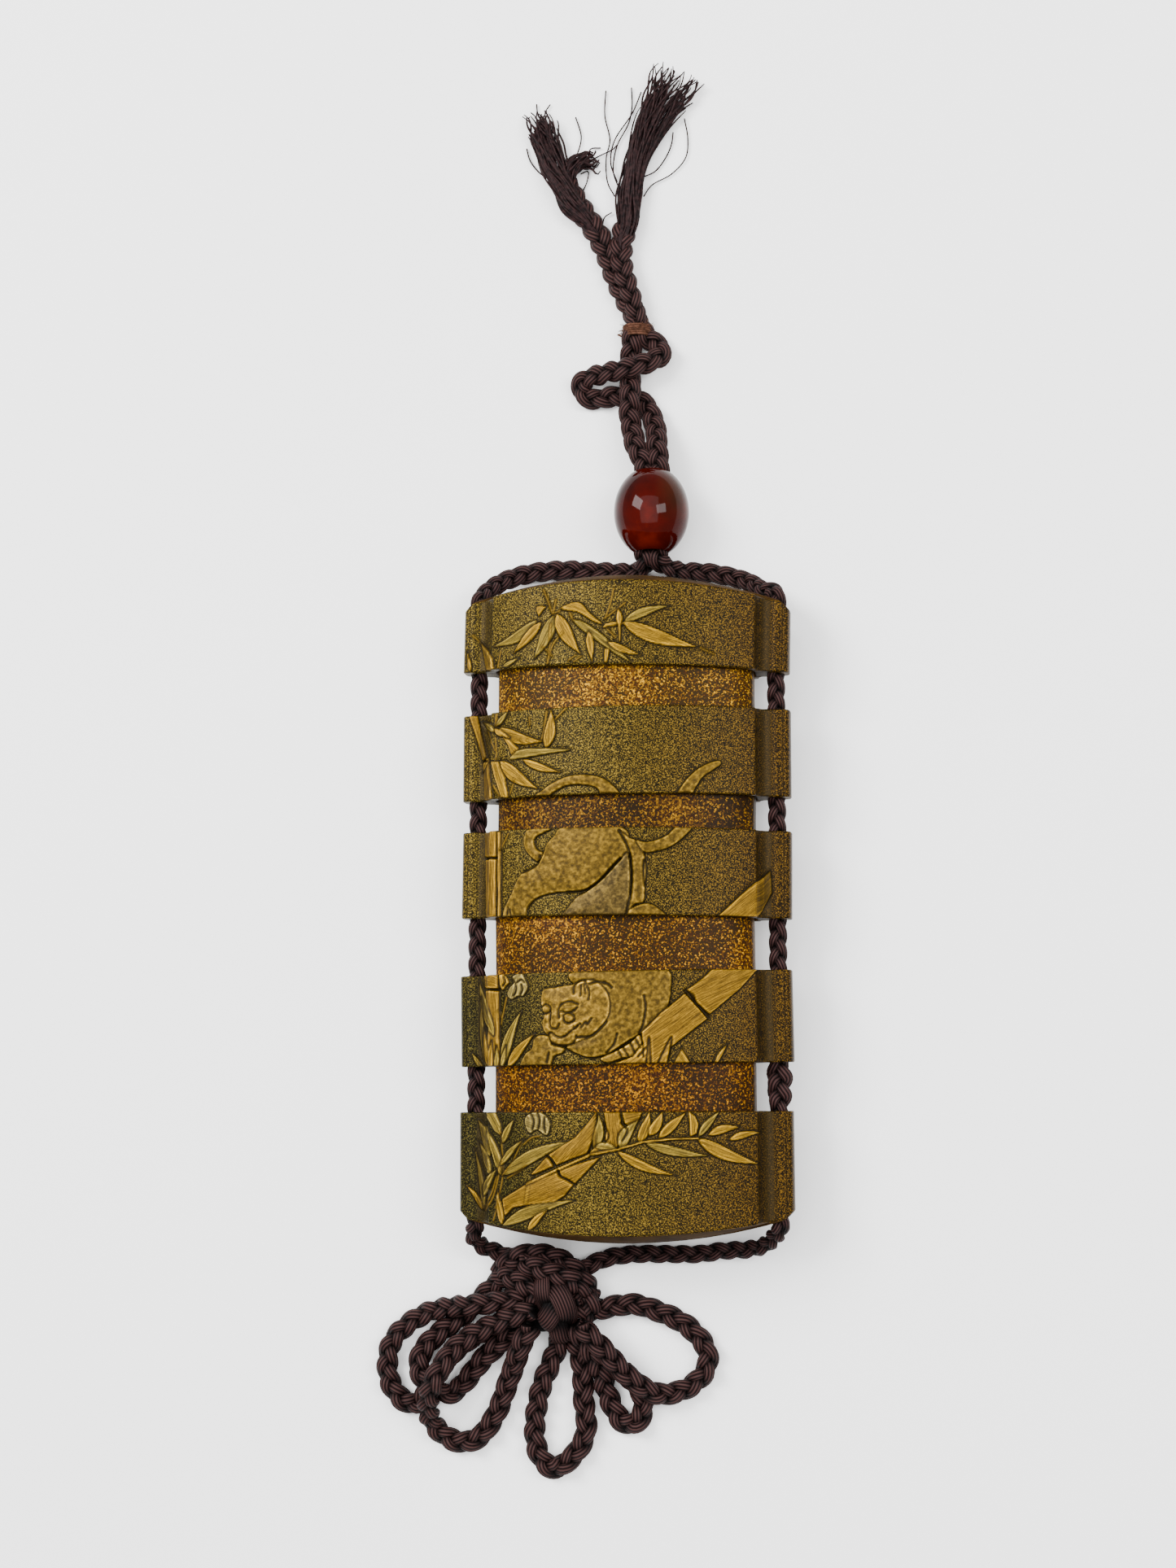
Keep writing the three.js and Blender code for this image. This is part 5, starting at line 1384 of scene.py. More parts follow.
def tube(path: Array, across: Array, out: Array, around: int) -> tuple[Array, list, list]:
    """A closed tube.

    Args:
        path: Its middle line.
        across: Its first half axis at each point.
        out: Its second half axis at each point.
        around: How many points go round it.

    Returns:
        Its points, its faces and one [around, along] pair for each face corner.
    """
    turn = np.arange(around) / around * 2 * np.pi
    cosine, sine = np.cos(turn)[None, :, None], np.sin(turn)[None, :, None]
    rings = path[:, None] + cosine * across[:, None] + sine * out[:, None]
    points = np.concatenate([rings.reshape(-1, 3), path[:1], path[-1:]])
    far = distances(path)
    faces, uv = [], []
    rows = len(path)
    for k in range(rows - 1):
        for i in range(around):
            j = (i + 1) % around
            faces.append([k * around + i, k * around + j, (k + 1) * around + j, (k + 1) * around + i])
            u, v = i / around, (i + 1) / around
            uv.extend([(u, far[k]), (v, far[k]), (v, far[k + 1]), (u, far[k + 1])])
    last = (rows - 1) * around
    for i in range(around):
        j = (i + 1) % around
        faces.append([rows * around, j, i])
        faces.append([rows * around + 1, last + i, last + j])
        uv.extend([(0.5, 0.0)] * 3 + [(0.5, far[-1])] * 3)
    return points, faces, uv


class Bundle:
    """Several closed tubes gathered into one mesh."""

    def __init__(self) -> None:
        """Starts empty."""
        self.points: list[Array] = []
        self.faces: list = []
        self.uv: list = []
        self.deep: list[Array] = []
        self.count = 0

    def add(self, points: Array, faces: list, uv: list, deep: Array | None = None) -> None:
        """Adds a tube.

        Args:
            points: Its points.
            faces: Its faces.
            uv: One pair for each face corner.
            deep: How far each point lies down between the strands, where the silk gets painted shade.
        """
        self.points.append(points)
        self.deep.append(np.zeros(len(points)) if deep is None else deep)
        self.faces.extend([[self.count + i for i in face] for face in faces])
        self.uv.extend(uv)
        self.count += len(points)

    def add_thread(self, path: Array, radius: float, around: int, first: Array) -> None:
        """Adds a round thread of one thickness, its first up direction given."""
        side, up = side_and_up(path, first)
        self.add(*tube(path, side * radius, up * radius, around))

    def add_core(self, core: Skin, deep: Array | None = None) -> None:
        """Adds a plain body under the threads."""
        self.add(core.points, core.faces, [(0.5, 0.5)] * sum(len(f) for f in core.faces), deep)

    def skin(self) -> Skin:
        """The tubes as one skin."""
        return Skin(np.concatenate(self.points), self.faces, uv=np.array(self.uv, float),
                    deep=np.concatenate(self.deep))


@dataclass(frozen=True)
class Plait:
    """A three-strand plait of silk cord; the last sizes are for a plait of the usual width."""

    width: float
    repeat: float
    thick: float = 1.0
    lines: float = 1.0
    step: float = 0.34
    around: int = 14
    usual: float = 3.84
    swing: float = 0.98
    lift: float = 0.76
    strand_half: float = 0.94
    strand_deep: float = 0.74
    lean: float = 0.55
    reach: tuple[float, float] = (1.92, 1.50)

    def weave(self, bundle: Bundle, path: Array, spread: Array | None = None) -> None:
        """Adds the plait's strands along a path.

        Args:
            bundle: Where the strands go.
            path: The plait's middle line.
            spread: How much wider than usual the plait lies at each point.
        """
        scale = self.width / self.usual
        far = distances(path)
        side, up = steady_up(path)
        wide = np.ones(len(path)) if spread is None else spread
        for strand in range(3):
            phase = 2 * np.pi * (far / self.repeat + strand / 3)
            swing = self.swing * scale * np.sin(phase) * wide
            lift = self.lift * scale * self.thick * np.sin(2 * phase)
            line = path + side * swing[:, None] + up * lift[:, None]
            run = unit(np.gradient(line, axis=0))
            lean = up + side * (self.lean * np.sin(phase))[:, None]
            out = unit(lean - run * (lean * run).sum(1)[:, None])
            broad = (self.strand_half * scale * np.sqrt(wide))[:, None]
            points, faces, uv = tube(line, np.cross(run, out) * broad,
                                     out * self.strand_deep * scale * self.thick, self.around)
            uv = [(u * self.lines, v) for u, v in uv]
            rows = [np.concatenate([np.repeat(v, self.around, 0), v[:1], v[-1:]]) for v in (path, side, up)]
            off = points - rows[0]
            across = (off * rows[1]).sum(1) / (self.reach[0] * scale)
            above = (off * rows[2]).sum(1) / (self.reach[1] * scale * self.thick)
            # Painted shade: how far down between the strands each point lies, to be darkened.
            bundle.add(points, faces, uv, np.clip((0.96 - np.hypot(across, above)) / 0.34, 0, 1))


CORD = Plait(3.45, 9.6)
BOW = Plait(4.2, 10.4)
KNOT = Plait(4.3, 10.0, 0.9)
KNOT_FRONT = Plait(8.2, 21.0, 0.55, 2.2)


def usual_spread(path: Array) -> Array:
    """A plait that lies as wide as it is all along."""
    return np.ones(len(path))


def upper_spread(path: Array) -> Array:
    """The cord lies a little wider above the case than where it is drawn tight."""
    y = path[:, 1]
    return 1 + 0.36 * np.clip((y - 58) / 8, 0, 1) + 0.3 * np.clip((y - 111) / 3, 0, 1)


def hitch_spread(path: Array) -> Array:
    """The right cord's widths, with its loosened stretch above the bottom box.

    Args:
        path: The cord's middle line.

    Returns:
        How much wider than usual the plait lies at each point.
    """
    y = path[:, 1]
    inner = np.abs(path[:, 0] - CASE.channel_x) < 1.0
    return upper_spread(path) + inner * (0.75 * bell(y + 30.9, 1.5) + 0.6 * bell(y + 34.1, 1.2))


class FarEnd(Enum):
    """What a cord's far end holds."""

    OBJECT = "object"
    BARE = "bare"


@dataclass(frozen=True)
class CordRun:
    """One loose length of plaited silk: its route and its thickness."""

    name: str
    route: list
    plait: Plait
    diameter: float
    far_end: FarEnd = FarEnd.OBJECT
    spread: Edge = usual_spread

    def build(self, silk: Material) -> None:
        """Plaits the cord and hands it to the frame.

        Args:
            silk: Its finish.
        """
        path = smooth_path(self.route, self.plait.step)
        bundle = Bundle()
        self.plait.weave(bundle, path, self.spread(path))
        item = make_object(self.name + "_braid", bundle.skin(), [silk])
        hand_over(item, self.name)


@dataclass(frozen=True)
class Cords:
    """The two cords through the bead and the case, and the tail above the binding."""

    diameter: float = 3.0
    left_start: tuple[float, float, float] = (0.3, 110.4, 2.2)
    right_start: tuple[float, float, float] = (1.7, 110.2, 2.2)
    end_start: tuple[float, float, float] = (1.3, 109.2, 2.2)

    def build(self, silk: Material) -> None:
        """Makes the three runs.

        Args:
            silk: Their finish.
        """
        left = [self.left_start, *ROUTES["left_upper"], *through_bead(-1), *ROUTES["left_over"],
                *through_case(-1), *ROUTES["left_lower"]]
        right = [self.right_start, *ROUTES["right_upper"], *through_bead(1), *ROUTES["right_over"],
                 *through_case(1), *ROUTES["right_lower"]]
        end = [self.end_start, *ROUTES["end"]]
        wide = self.diameter
        CordRun("cord_left", left, CORD, wide, spread=upper_spread).build(silk)
        CordRun("cord_right", right, CORD, wide, spread=hitch_spread).build(silk)
        CordRun("cord_end", end, CORD, wide, FarEnd.BARE, upper_spread).build(silk)


# Bow, binding, fringes, bead.

KNOT_WRAPS: list[tuple[Plait, list]] = [
    (KNOT, [
        [-24.5, -66.4, 1.8], [-23, -64.6, 3.8], [-20.7, -63.3, 5], [-17.9, -62.8, 5.4],
        [-14.9, -63, 5.6], [-12, -64.1, 5.6], [-9.6, -66, 5], [-8.3, -68.1, 3.8], [-7.6, -70, 2],
    ]),
    (KNOT, [
        [-24.9, -67.2, 1.8], [-22.7, -66.8, 4.4], [-20.3, -67.5, 6], [-18.1, -68.8, 6.6],
        [-17.2, -70.7, 5.5],
    ]),
    (KNOT, [
        [-19.9, -64.4, 5.6], [-17.2, -64.8, 7], [-14.3, -65.8, 7.8], [-11.4, -66.6, 7.6],
        [-9.4, -68.3, 6], [-9.1, -70.7, 4],
    ]),
    (KNOT_FRONT, [
        [-15.2, -66, 5], [-14.1, -67.7, 7.2], [-13.4, -70, 7.9], [-13.2, -72.7, 7.4],
        [-13.5, -74.9, 5.6], [-14.2, -76.7, 3],
    ]),
    (KNOT, [[-9.3, -69.6, 3], [-7.8, -70.6, 4.4], [-7.6, -72.7, 4.2], [-8.8, -74.6, 3]]),
]


def ellipsoid(place: Sequence[float], size: Sequence[float], rounds: int = 32) -> Skin:
    """A closed rounded body.

    Args:
        place: Its middle.
        size: Its widths.
        rounds: How many points go round it.

    Returns:
        Its skin.
    """
    rows = rounds // 2
    points = [[0, 0, -1.0]]
    for i in range(1, rows):
        tilt = math.pi * i / rows
        for j in range(rounds):
            turn = 2 * math.pi * j / rounds
            points.append([math.sin(tilt) * math.cos(turn), math.sin(tilt) * math.sin(turn), -math.cos(tilt)])
    points.append([0, 0, 1.0])
    last = len(points) - 1
    faces = []
    for j in range(rounds):
        k = (j + 1) % rounds
        faces.append([0, 1 + k, 1 + j])
        for i in range(rows - 2):
            a = 1 + i * rounds
            faces.append([a + j, a + k, a + rounds + k, a + rounds + j])
        a = 1 + (rows - 2) * rounds
        faces.append([a + j, a + k, last])
    return Skin(np.array(points) * np.array(size) / 2 + np.array(place), faces)


@dataclass(frozen=True)
class Bow:
    """The bow: six plaited loops and the wrapped knot that gathers them."""

    loops: int = 6
    loop_diameter: float = 3.7
    core_size: tuple[float, float, float] = (14.0, 13.0, 5.6)

    def build(self, silk: Material) -> None:
        """Makes the loops and the knot.

        Args:
            silk: Their finish.
        """
        for number in range(1, self.loops + 1):
            name = f"loop_{number}"
            CordRun("bow_" + name, ROUTES[name], BOW, self.loop_diameter).build(silk)
        bundle = Bundle()
        core = ellipsoid(KNOT_PLACE, self.core_size)
        # The core lies fully deep, so it takes the darkest painted shade.
        bundle.add_core(core, np.ones(len(core.points)))
        for plait, route in KNOT_WRAPS:
            plait.weave(bundle, smooth_path(route, plait.step))
        item = make_object("bow_knot_wraps", bundle.skin(), [silk])
        hand_over(item, "bow_knot")


@dataclass(frozen=True)
class Binding:
    """The turns of fuzzy thread that hold the cord's ends, with a loose tag."""

    turns: float = 4.5
    half_width: float = 2.55
    half_height: float = 1.9
    length: float = 2.0
    thread: float = 0.24
    tag_thread: float = 0.16
    hairs: int = 170
    hair: float = 0.045
    core_size: tuple[float, float, float] = (4.9, 2.2, 3.6)
    seed: int = 11

    def build(self, thread: Material) -> None:
        """Winds the thread and hands it to the frame.

        Args:
            thread: Its finish.
        """
        x, y, z = BINDING_PLACE
        turn = np.linspace(0, 2 * np.pi * self.turns, 260)
        line = np.stack([
            x + self.half_width * np.cos(turn),
            y - 1.0 + self.length * turn / turn[-1],
            z + self.half_height * np.sin(turn),
        ], 1)
        tag_points = [line[0], [x - 2.7, y - 0.6, 1.2], [x - 3.4, y - 0.2, 0.5], [x - 4.0, y + 0.1, 0.3]]
        bundle = Bundle()
        self.add_fuzz(bundle, line)
        for path, radius in ((line, self.thread), (smooth_path(tag_points, 0.1), self.tag_thread)):
            bundle.add_thread(path, radius, 8, np.array([0, 1.0, 0.1]))
        bundle.add_core(ellipsoid(BINDING_PLACE, self.core_size, 24))
        item = make_object("binding_thread_turns", bundle.skin(), [thread])
        hand_over(item, "cord_binding")

    def add_fuzz(self, bundle: Bundle, line: Array) -> None:
        """Adds short hairs that stand off the turns.

        Args:
            bundle: Where the hairs go.
            line: The thread's middle line.
        """
        rng = np.random.default_rng(self.seed)
        for _ in range(self.hairs):
            root = line[rng.integers(len(line))]
            away = unit(np.array([root - BINDING_PLACE]) * [1, 1, 1.3] + rng.normal(0, 0.9, (1, 3)))[0]
            hair = root + away * np.linspace(0, rng.uniform(0.5, 1.1), 4)[:, None]
            hair = hair + rng.normal(0, 0.06, (4, 3))
            bundle.add_thread(hair, self.hair, 4, np.array([0.3, 1.0, 0.1]))


@dataclass(frozen=True)
class Fringe:
    """A frayed end of the cord: bundles of loose yarn, a few stray threads and a plaited root."""

    name: str
    bundles: tuple[tuple[int, list], ...]
    strays: list
    seed: int
    root: tuple | list = ()
    stray: float = 0.14
    step: float = 0.5
    splay: float = 4.2
    root_spread: tuple[float, float] = (1.2, 1.7)

    def build(self, loose: Material, silk: Material) -> None:
        """Makes the yarns and the root and hands them to the frame.

        Args:
            loose: The yarns' finish.
            silk: The root's finish.
        """
        rng = np.random.default_rng(self.seed)
        bundle = Bundle()
        for count, route in self.bundles:
            self.add_yarns(bundle, rng, route, count)
        for route in self.strays:
            path = smooth_path(route, self.step)
            path[:, 2] = np.maximum(path[:, 2], self.stray + 0.02)
            bundle.add_thread(path, self.stray, 6, THREAD_UP)
        yarn_faces = len(bundle.faces)
        if self.root:
            path = smooth_path(self.root, CORD.step)
            CORD.weave(bundle, path, np.linspace(*self.root_spread, len(path)))
        skin = bundle.skin()
        skin.slots = (np.arange(len(skin.faces)) >= yarn_faces).astype(int)
        item = make_object(self.name + "_yarns", skin, [loose, silk])
        hand_over(item, self.name)

    def add_yarns(self, bundle: Bundle, rng: np.random.Generator, route: Route, count: int) -> None:
        """Adds loose yarns that run side by side along a route and fray at its end.

        Args:
            bundle: Where the yarns go.
            rng: Seeded random numbers.
            route: The bundle's middle line and half width, [x, y, z, half width] each.
            count: How many yarns there are.
        """
        keys = np.asarray(route, float)
        line = smooth_path(keys[:, :3], self.step)
        side, up = steady_up(line)
        share = np.linspace(0, 1, len(line))
        half = np.interp(share, np.linspace(0, 1, len(keys)), keys[:, 3])
        for _ in range(count):
            place, reach = rng.uniform(0, 2 * np.pi), rng.uniform(0.1, 1) ** 0.5
            turn = place + (1.6 + rng.normal(0, 0.7)) * share
            wave = rng.uniform(0.05, 0.22) * np.sin(share * rng.uniform(5, 14) + rng.uniform(0, 6))
            freed = np.clip(share - 0.62, 0, 1) ** 1.5
            drift = rng.normal(0, self.splay)
            curl = 3.5 * np.sin(share * rng.uniform(12, 30) + rng.uniform(0, 6))
            x = (reach * np.cos(turn) + wave) * half + (drift + curl) * freed
            z = reach * np.sin(turn) * np.minimum(half, 1.5)
            last = int(len(line) * min(1.0, rng.uniform(0.76, 1.04)))
            path = (line + side * x[:, None] + up * z[:, None])[:last]
            radius = rng.uniform(0.15, 0.23)
            path[:, 2] = np.maximum(path[:, 2], radius + 0.02)
            flat, lift = side_and_up(path, THREAD_UP)
            taper = (radius * np.minimum(1, (1.15 - np.linspace(0, 1, last)) * 4))[:, None]
            bundle.add(*tube(path, flat * taper, lift * taper, 6))


FRINGES = (
    Fringe("cord_fringe_left", ((80, LEFT_BUNDLE), (34, LEFT_SIDE_BUNDLE)), LEFT_STRAYS, 3),
    Fringe("cord_fringe_right", ((95, RIGHT_BUNDLE),), RIGHT_STRAYS, 5, RIGHT_ROOT),
)


@dataclass(frozen=True)
class Bead:
    """The polished barrel bead, bored along its axis."""

    half_length: float = 7.65
    radius: float = 7.0
    bore: float = 2.6
    lip: float = 3.2
    rounds: int = 96
    # How far in from the bead's end, and out from the bore, the mouth's rounding passes.
    mouth: tuple[tuple[float, float], ...] = ((0.03, 0.42), (0.15, 0.2), (0.5, 0.03), (1.0, 0.0))

    def profile(self) -> Array:
        """The bead's closed profile, outside first.

        Returns:
            Its points, each as a place along the axis and a distance from it.
        """
        half, bore = self.half_length, self.bore
        outer = []
        for t in np.linspace(0, 1, 60):
            turn = math.pi * (t - 0.5)
            fall = (1 - (self.lip / self.radius) ** 2) * math.sin(turn) ** 2
            outer.append([half * math.sin(turn), self.radius * (1 - fall) ** 0.5])
        far = [[half - inward, bore + outward] for inward, outward in self.mouth]
        inner = [[y, bore] for y in np.linspace(half - 2, -half + 2, 8)]
        near = [[inward - half, bore + outward] for inward, outward in reversed(self.mouth)]
        return np.array(outer + far + inner + near)

    def build(self, stone: Material) -> None:
        """Turns the bead and hands it to the frame.

        Args:
            stone: Its finish.
        """
        x, y, z = BEAD_PLACE
        turn = np.arange(self.rounds) / self.rounds * 2 * np.pi
        p = self.profile()
        points = np.stack([
            x + p[:, 1:2] * np.cos(turn), np.repeat(y + p[:, :1], self.rounds, 1),
            z + p[:, 1:2] * np.sin(turn),
        ], 2).reshape(-1, 3)
        points[:, 2] = np.maximum(points[:, 2], 0.0)
        faces = []
        for k in range(len(p)):
            a, b = k * self.rounds, (k + 1) % len(p) * self.rounds
            for i in range(self.rounds):
                j = (i + 1) % self.rounds
                faces.append([a + i, a + j, b + j, b + i])
        item = make_object("bead_stone", face_outward(Skin(points, faces)), [stone])
        hand_over(item, "bead")


# Finishes.

class Nodes:
    """A small helper that adds shader nodes to a material and joins them."""

    def __init__(self, name: str) -> None:
        """Starts a material with one shader."""
        self.material = bpy.data.materials.new(name)
        self.material.use_nodes = True
        self.tree = self.material.node_tree
        self.tree.nodes.clear()
        self.output = self.tree.nodes.new("ShaderNodeOutputMaterial")
        self.shader = self.add("ShaderNodeBsdfPrincipled")
        self.join(self.shader.outputs[0], self.output.inputs["Surface"])

    def add(self, kind: str, **values: object) -> bpy.types.Node:
        """Adds a node.

        Args:
            kind: Blender's name for it.
            values: Those that name a property set it, and the rest set an input.

        Returns:
            The node.
        """
        node = self.tree.nodes.new(kind)
        for key, value in values.items():
            if hasattr(node, key):
                setattr(node, key, value)
            else:
                self.put(node.inputs[key.replace("_", " ")], value)
        return node

    def put(self, socket: Socket, value: object) -> None:
        """Sets a socket.

        Args:
            socket: The socket.
            value: A number, a colour or another node's output.
        """
        if isinstance(value, Socket):
            self.join(value, socket)
        elif isinstance(value, (tuple, list)) and len(value) == 3 and socket.type == "RGBA":
            socket.default_value = (*value, 1)
        else:
            socket.default_value = value

    def join(self, source: Socket, target: Socket) -> None:
        """Joins an output to an input."""
        self.tree.links.new(source, target)

    def attribute(self, name: str) -> bpy.types.Node:
        """Reads a painted attribute."""
        return self.add("ShaderNodeAttribute", attribute_name=name)

    def fac(self, name: str) -> Socket:
        """Reads a painted number."""
        return self.attribute(name).outputs["Fac"]

    def place(self) -> Socket:
        """The point on the object, in metres."""
        return self.add("ShaderNodeTexCoord").outputs["Object"]

    def parts(self, vector: Socket) -> Sequence[Socket]:
        """The three parts of a vector."""
        return self.add("ShaderNodeSeparateXYZ", Vector=vector).outputs

    def noise(self, scale: float, detail: float = 2,
              vector: Socket | None = None) -> Socket:
        """Noise of the given scale, per metre unless a vector is given.

        Args:
            scale: How many features there are to a metre.
            detail: How fine it gets.
            vector: What it lies on, or the point on the object.

        Returns:
            The noise, from 0 to 1.
        """
        return self.add("ShaderNodeTexNoise", Scale=scale, Detail=detail,
                        Vector=vector or self.place()).outputs["Fac"]

    def math(self, operation: str, *values: object) -> Socket:
        """A sum of the given kind.

        Args:
            operation: Blender's name for it.
            values: What it works on.

        Returns:
            Its result.
        """
        node = self.add("ShaderNodeMath", operation=operation)
        for socket, value in zip(node.inputs, values):
            self.put(socket, value)
        return node.outputs[0]

    def times(self, a: object, b: object) -> Socket:
        """One value times another."""
        return self.math("MULTIPLY", a, b)

    def clamp(self, value: Socket) -> Socket:
        """A value kept between 0 and 1."""
        return self.add("ShaderNodeClamp", Value=value).outputs[0]

    def ramp(self, value: Socket, stops: Sequence[tuple[float, Colour]]) -> Socket:
        """A colour ramp.

        Args:
            value: Where on the ramp.
            stops: Its places and colours.

        Returns:
            The colour.
        """
        node = self.add("ShaderNodeValToRGB")
        elements = node.color_ramp.elements
        for i, (place, colour) in enumerate(stops):
            element = elements[i] if i < 2 else elements.new(place)
            element.position = place
            element.color = (*colour, 1)
        self.join(value, node.inputs[0])
        return node.outputs[0]

    def mix(self, share: object, a: object, b: object, blend: str = "MIX") -> Socket:
        """A mix of two colours.

        Args:
            share: How much of the second.
            a: The first colour.
            b: The second colour.
            blend: Blender's name for how they mix.

        Returns:
            The colour.
        """
        node = self.add("ShaderNodeMix", data_type="RGBA", blend_type=blend)
        self.put(node.inputs[0], share)
        self.put(node.inputs[6], a)
        self.put(node.inputs[7], b)
        return node.outputs[2]

    def dim(self, a: object, b: object) -> Socket:
        """One colour multiplied by another."""
        return self.mix(1.0, a, b, "MULTIPLY")

    def bump(self, height: Socket, depth: float, strength: float) -> None:
        """Bumps the surface by a height."""
        node = self.add("ShaderNodeBump", Strength=strength, Distance=depth, Height=height)
        self.join(node.outputs[0], self.shader.inputs["Normal"])

    def set(self, **values: object) -> None:
        """Sets the shader's inputs."""
        for key, value in values.items():
            self.put(self.shader.inputs[key.replace("_", " ")], value)


def grey(value: float) -> Colour:
    """A colour without hue."""
    return (value, value, value)


@dataclass(frozen=True)
class GoldLacquer:
    """Ground of fine gold powder under the brushed, raised gold of the picture."""

    powder: tuple = (
        (0.37, (0.002, 0.0015, 0.0003)), (0.50, (0.017, 0.0115, 0.0012)), (0.66, (0.165, 0.108, 0.013)),
    )
    amber: Colour = (0.62, 0.47, 0.27)
    shadow: Colour = (0.42, 0.50, 0.75)
    worn: Colour = (0.017, 0.011, 0.003)
    # The colour of the painted shade in creases, cut lines and along the case's edges.
    crease_shade: Colour = (0.006, 0.004, 0.001)

    def ground(self, n: Nodes, fine: Socket) -> Socket:
        """The powdered ground, warmer to the right and darker at the lower left.

        Args:
            n: The material's nodes.
            fine: The powder's noise.

        Returns:
            The ground's colour.
        """
        coarse = n.noise(420, 3)
        ground = n.ramp(fine, self.powder)
        x, y, _ = n.parts(n.place())
        warm = n.clamp(n.times(n.math("ADD", x, n.times(coarse, 0.010)), 34.0))
        ground = n.mix(warm, ground, n.dim(ground, self.amber))
        left = n.clamp(n.times(n.math("SUBTRACT", -0.009, x), 90.0))
        low = n.clamp(n.times(n.math("SUBTRACT", -0.004, y), 70.0))
        return n.mix(n.times(left, low), ground, n.dim(ground, self.shadow))

    def material(self) -> Material:
        """Makes the finish.

        Returns:
            The material.
        """
        n = Nodes("gold_powder_and_raised_gold")
        fine = n.noise(4600)
        tint = n.attribute("tint")
        brush = n.add("ShaderNodeVectorMath", operation="MULTIPLY")
        n.join(n.attribute("brush").outputs["Vector"], brush.inputs[0])
        brush.inputs[1].default_value = (8.0, 0.35, 1.0)
        lines = n.noise(1.0, 2, brush.outputs[0])
        shade = n.ramp(lines, [(0.34, grey(0.38)), (0.5, grey(0.8)), (0.66, grey(1.5))])
        grain = n.ramp(n.noise(2600), [(0.3, grey(0.78)), (0.65, grey(1.12))])
        raised = n.dim(n.dim(tint.outputs["Color"], shade), grain)
        colour = n.mix(tint.outputs["Alpha"], self.ground(n, fine), raised)
        colour = n.mix(n.times(n.fac("bare"), 0.72), colour, self.worn)
        # Painted shade in creases, cut lines and along the case's edges.
        colour = n.mix(n.times(n.fac("crease_shade"), 0.95), colour, self.crease_shade)
        n.set(Base_Color=colour, Metallic=0.25, Roughness=0.42, Specular_IOR_Level=0.05)
        n.bump(n.math("ADD", n.times(fine, 0.5), n.times(lines, tint.outputs["Alpha"])), 0.00010, 0.6)
        return n.material


@dataclass(frozen=True)
class FlakeLacquer:
    """Dark lacquer dense with orange-gold flakes, on the risers and inside."""

    ground: Colour = (0.014, 0.0065, 0.0008)
    flakes: tuple = (
        (0.30, (0.022, 0.006, 0.0005)), (0.58, (0.095, 0.038, 0.001)), (0.9, (0.36, 0.17, 0.003)),
    )
    # Each riser is tinted a little darker or lighter, from the lowest to the highest.
    tones: tuple = (
        (0.30, (0.80, 0.70, 0.55)), (0.36, (0.98, 0.93, 0.75)), (0.52, (0.98, 0.93, 0.75)),
        (0.58, (0.60, 0.60, 0.75)), (0.70, (0.60, 0.60, 0.75)), (0.76, (1.15, 1.20, 1.10)),
    )
    dark_ends: Colour = (0.018, 0.010, 0.0025)

    def material(self) -> Material:
        """Makes the finish.

        Returns:
            The material.
        """
        n = Nodes("gold_flake_lacquer")
        cells = n.add("ShaderNodeTexVoronoi", Scale=3300.0, Vector=n.place())
        flake = n.ramp(cells.outputs["Color"], self.flakes)
        bunch = n.math("ADD", n.noise(2800), n.times(n.noise(75), 0.45))
        colour = n.mix(n.ramp(bunch, [(0.69, grey(0)), (0.75, grey(1))]), self.ground, flake)
        x, y, _ = n.parts(n.place())
        colour = n.dim(colour, n.ramp(n.math("MULTIPLY_ADD", y, 8.29, 0.5), self.tones))
        # The riser's two ends are made darker and plainer.
        ends = n.clamp(n.times(n.math("SUBTRACT", n.math("ABSOLUTE", x), 0.0225), 500.0))
        colour = n.mix(n.times(ends, 0.75), colour, self.dark_ends)
        n.set(Base_Color=colour, Metallic=0.15, Roughness=0.45, Specular_IOR_Level=0.05)
        return n.material


@dataclass(frozen=True)
class CloudedFinish:
    """A plain finish between two colours, a little uneven."""

    name: str
    dark: Colour
    light: Colour
    rough: float
    scale: float = 1500.0
    shine: float = 0.08

    def material(self) -> Material:
        """Makes the finish.

        Returns:
            The material.
        """
        n = Nodes(self.name)
        colour = n.ramp(n.noise(self.scale, 3), [(0.35, self.dark), (0.65, self.light)])
        n.set(Base_Color=colour, Roughness=self.rough, Specular_IOR_Level=self.shine)
        return n.material


PLAIN_LACQUER = CloudedFinish(
    "plain_brown_lacquer", (0.017, 0.008, 0.002), (0.036, 0.018, 0.004), 0.7, 260.0, 0.02,
)
RUST_THREAD = CloudedFinish("rust_thread", (0.030, 0.012, 0.006), (0.085, 0.036, 0.021), 0.8)
LOOSE_SILK = CloudedFinish("loose_silk", (0.003, 0.0012, 0.0014), (0.020, 0.0085, 0.0085), 0.6)


@dataclass(frozen=True)
class SilkYarn:
    """Dark silk yarn, its fine threads running along each strand, with painted shade down between the
    strands.
    """

    threads: tuple = (
        (0.0, (0.0006, 0.0003, 0.0003)), (0.45, (0.006, 0.0024, 0.0026)), (1.0, (0.043, 0.0195, 0.0175)),
    )
    soft: Colour = (0.011, 0.0045, 0.005)
    # The colour of the painted shade between the strands.
    deep: Colour = (0.001, 0.0005, 0.0005)

    def material(self) -> Material:
        """Makes the finish.

        Returns:
            The material.
        """
        n = Nodes("dark_silk_yarn")
        around, along, _ = n.parts(n.add("ShaderNodeUVMap", uv_map="yarn").outputs[0])
        lanes = n.math("ADD", n.times(around, 10.0), n.times(along, 0.10))
        wave = n.math("ABSOLUTE", n.math("SINE", n.times(lanes, math.pi)))
        colour = n.ramp(wave, self.threads)
        colour = n.mix(n.times(n.noise(900, 3), 0.3), colour, self.soft)
        # Painted shade where the strands lie deep.
        colour = n.mix(n.fac("deep"), colour, self.deep)
        n.set(Base_Color=colour, Roughness=0.6, Specular_IOR_Level=0.06)
        n.bump(wave, 0.00014, 0.9)
        return n.material


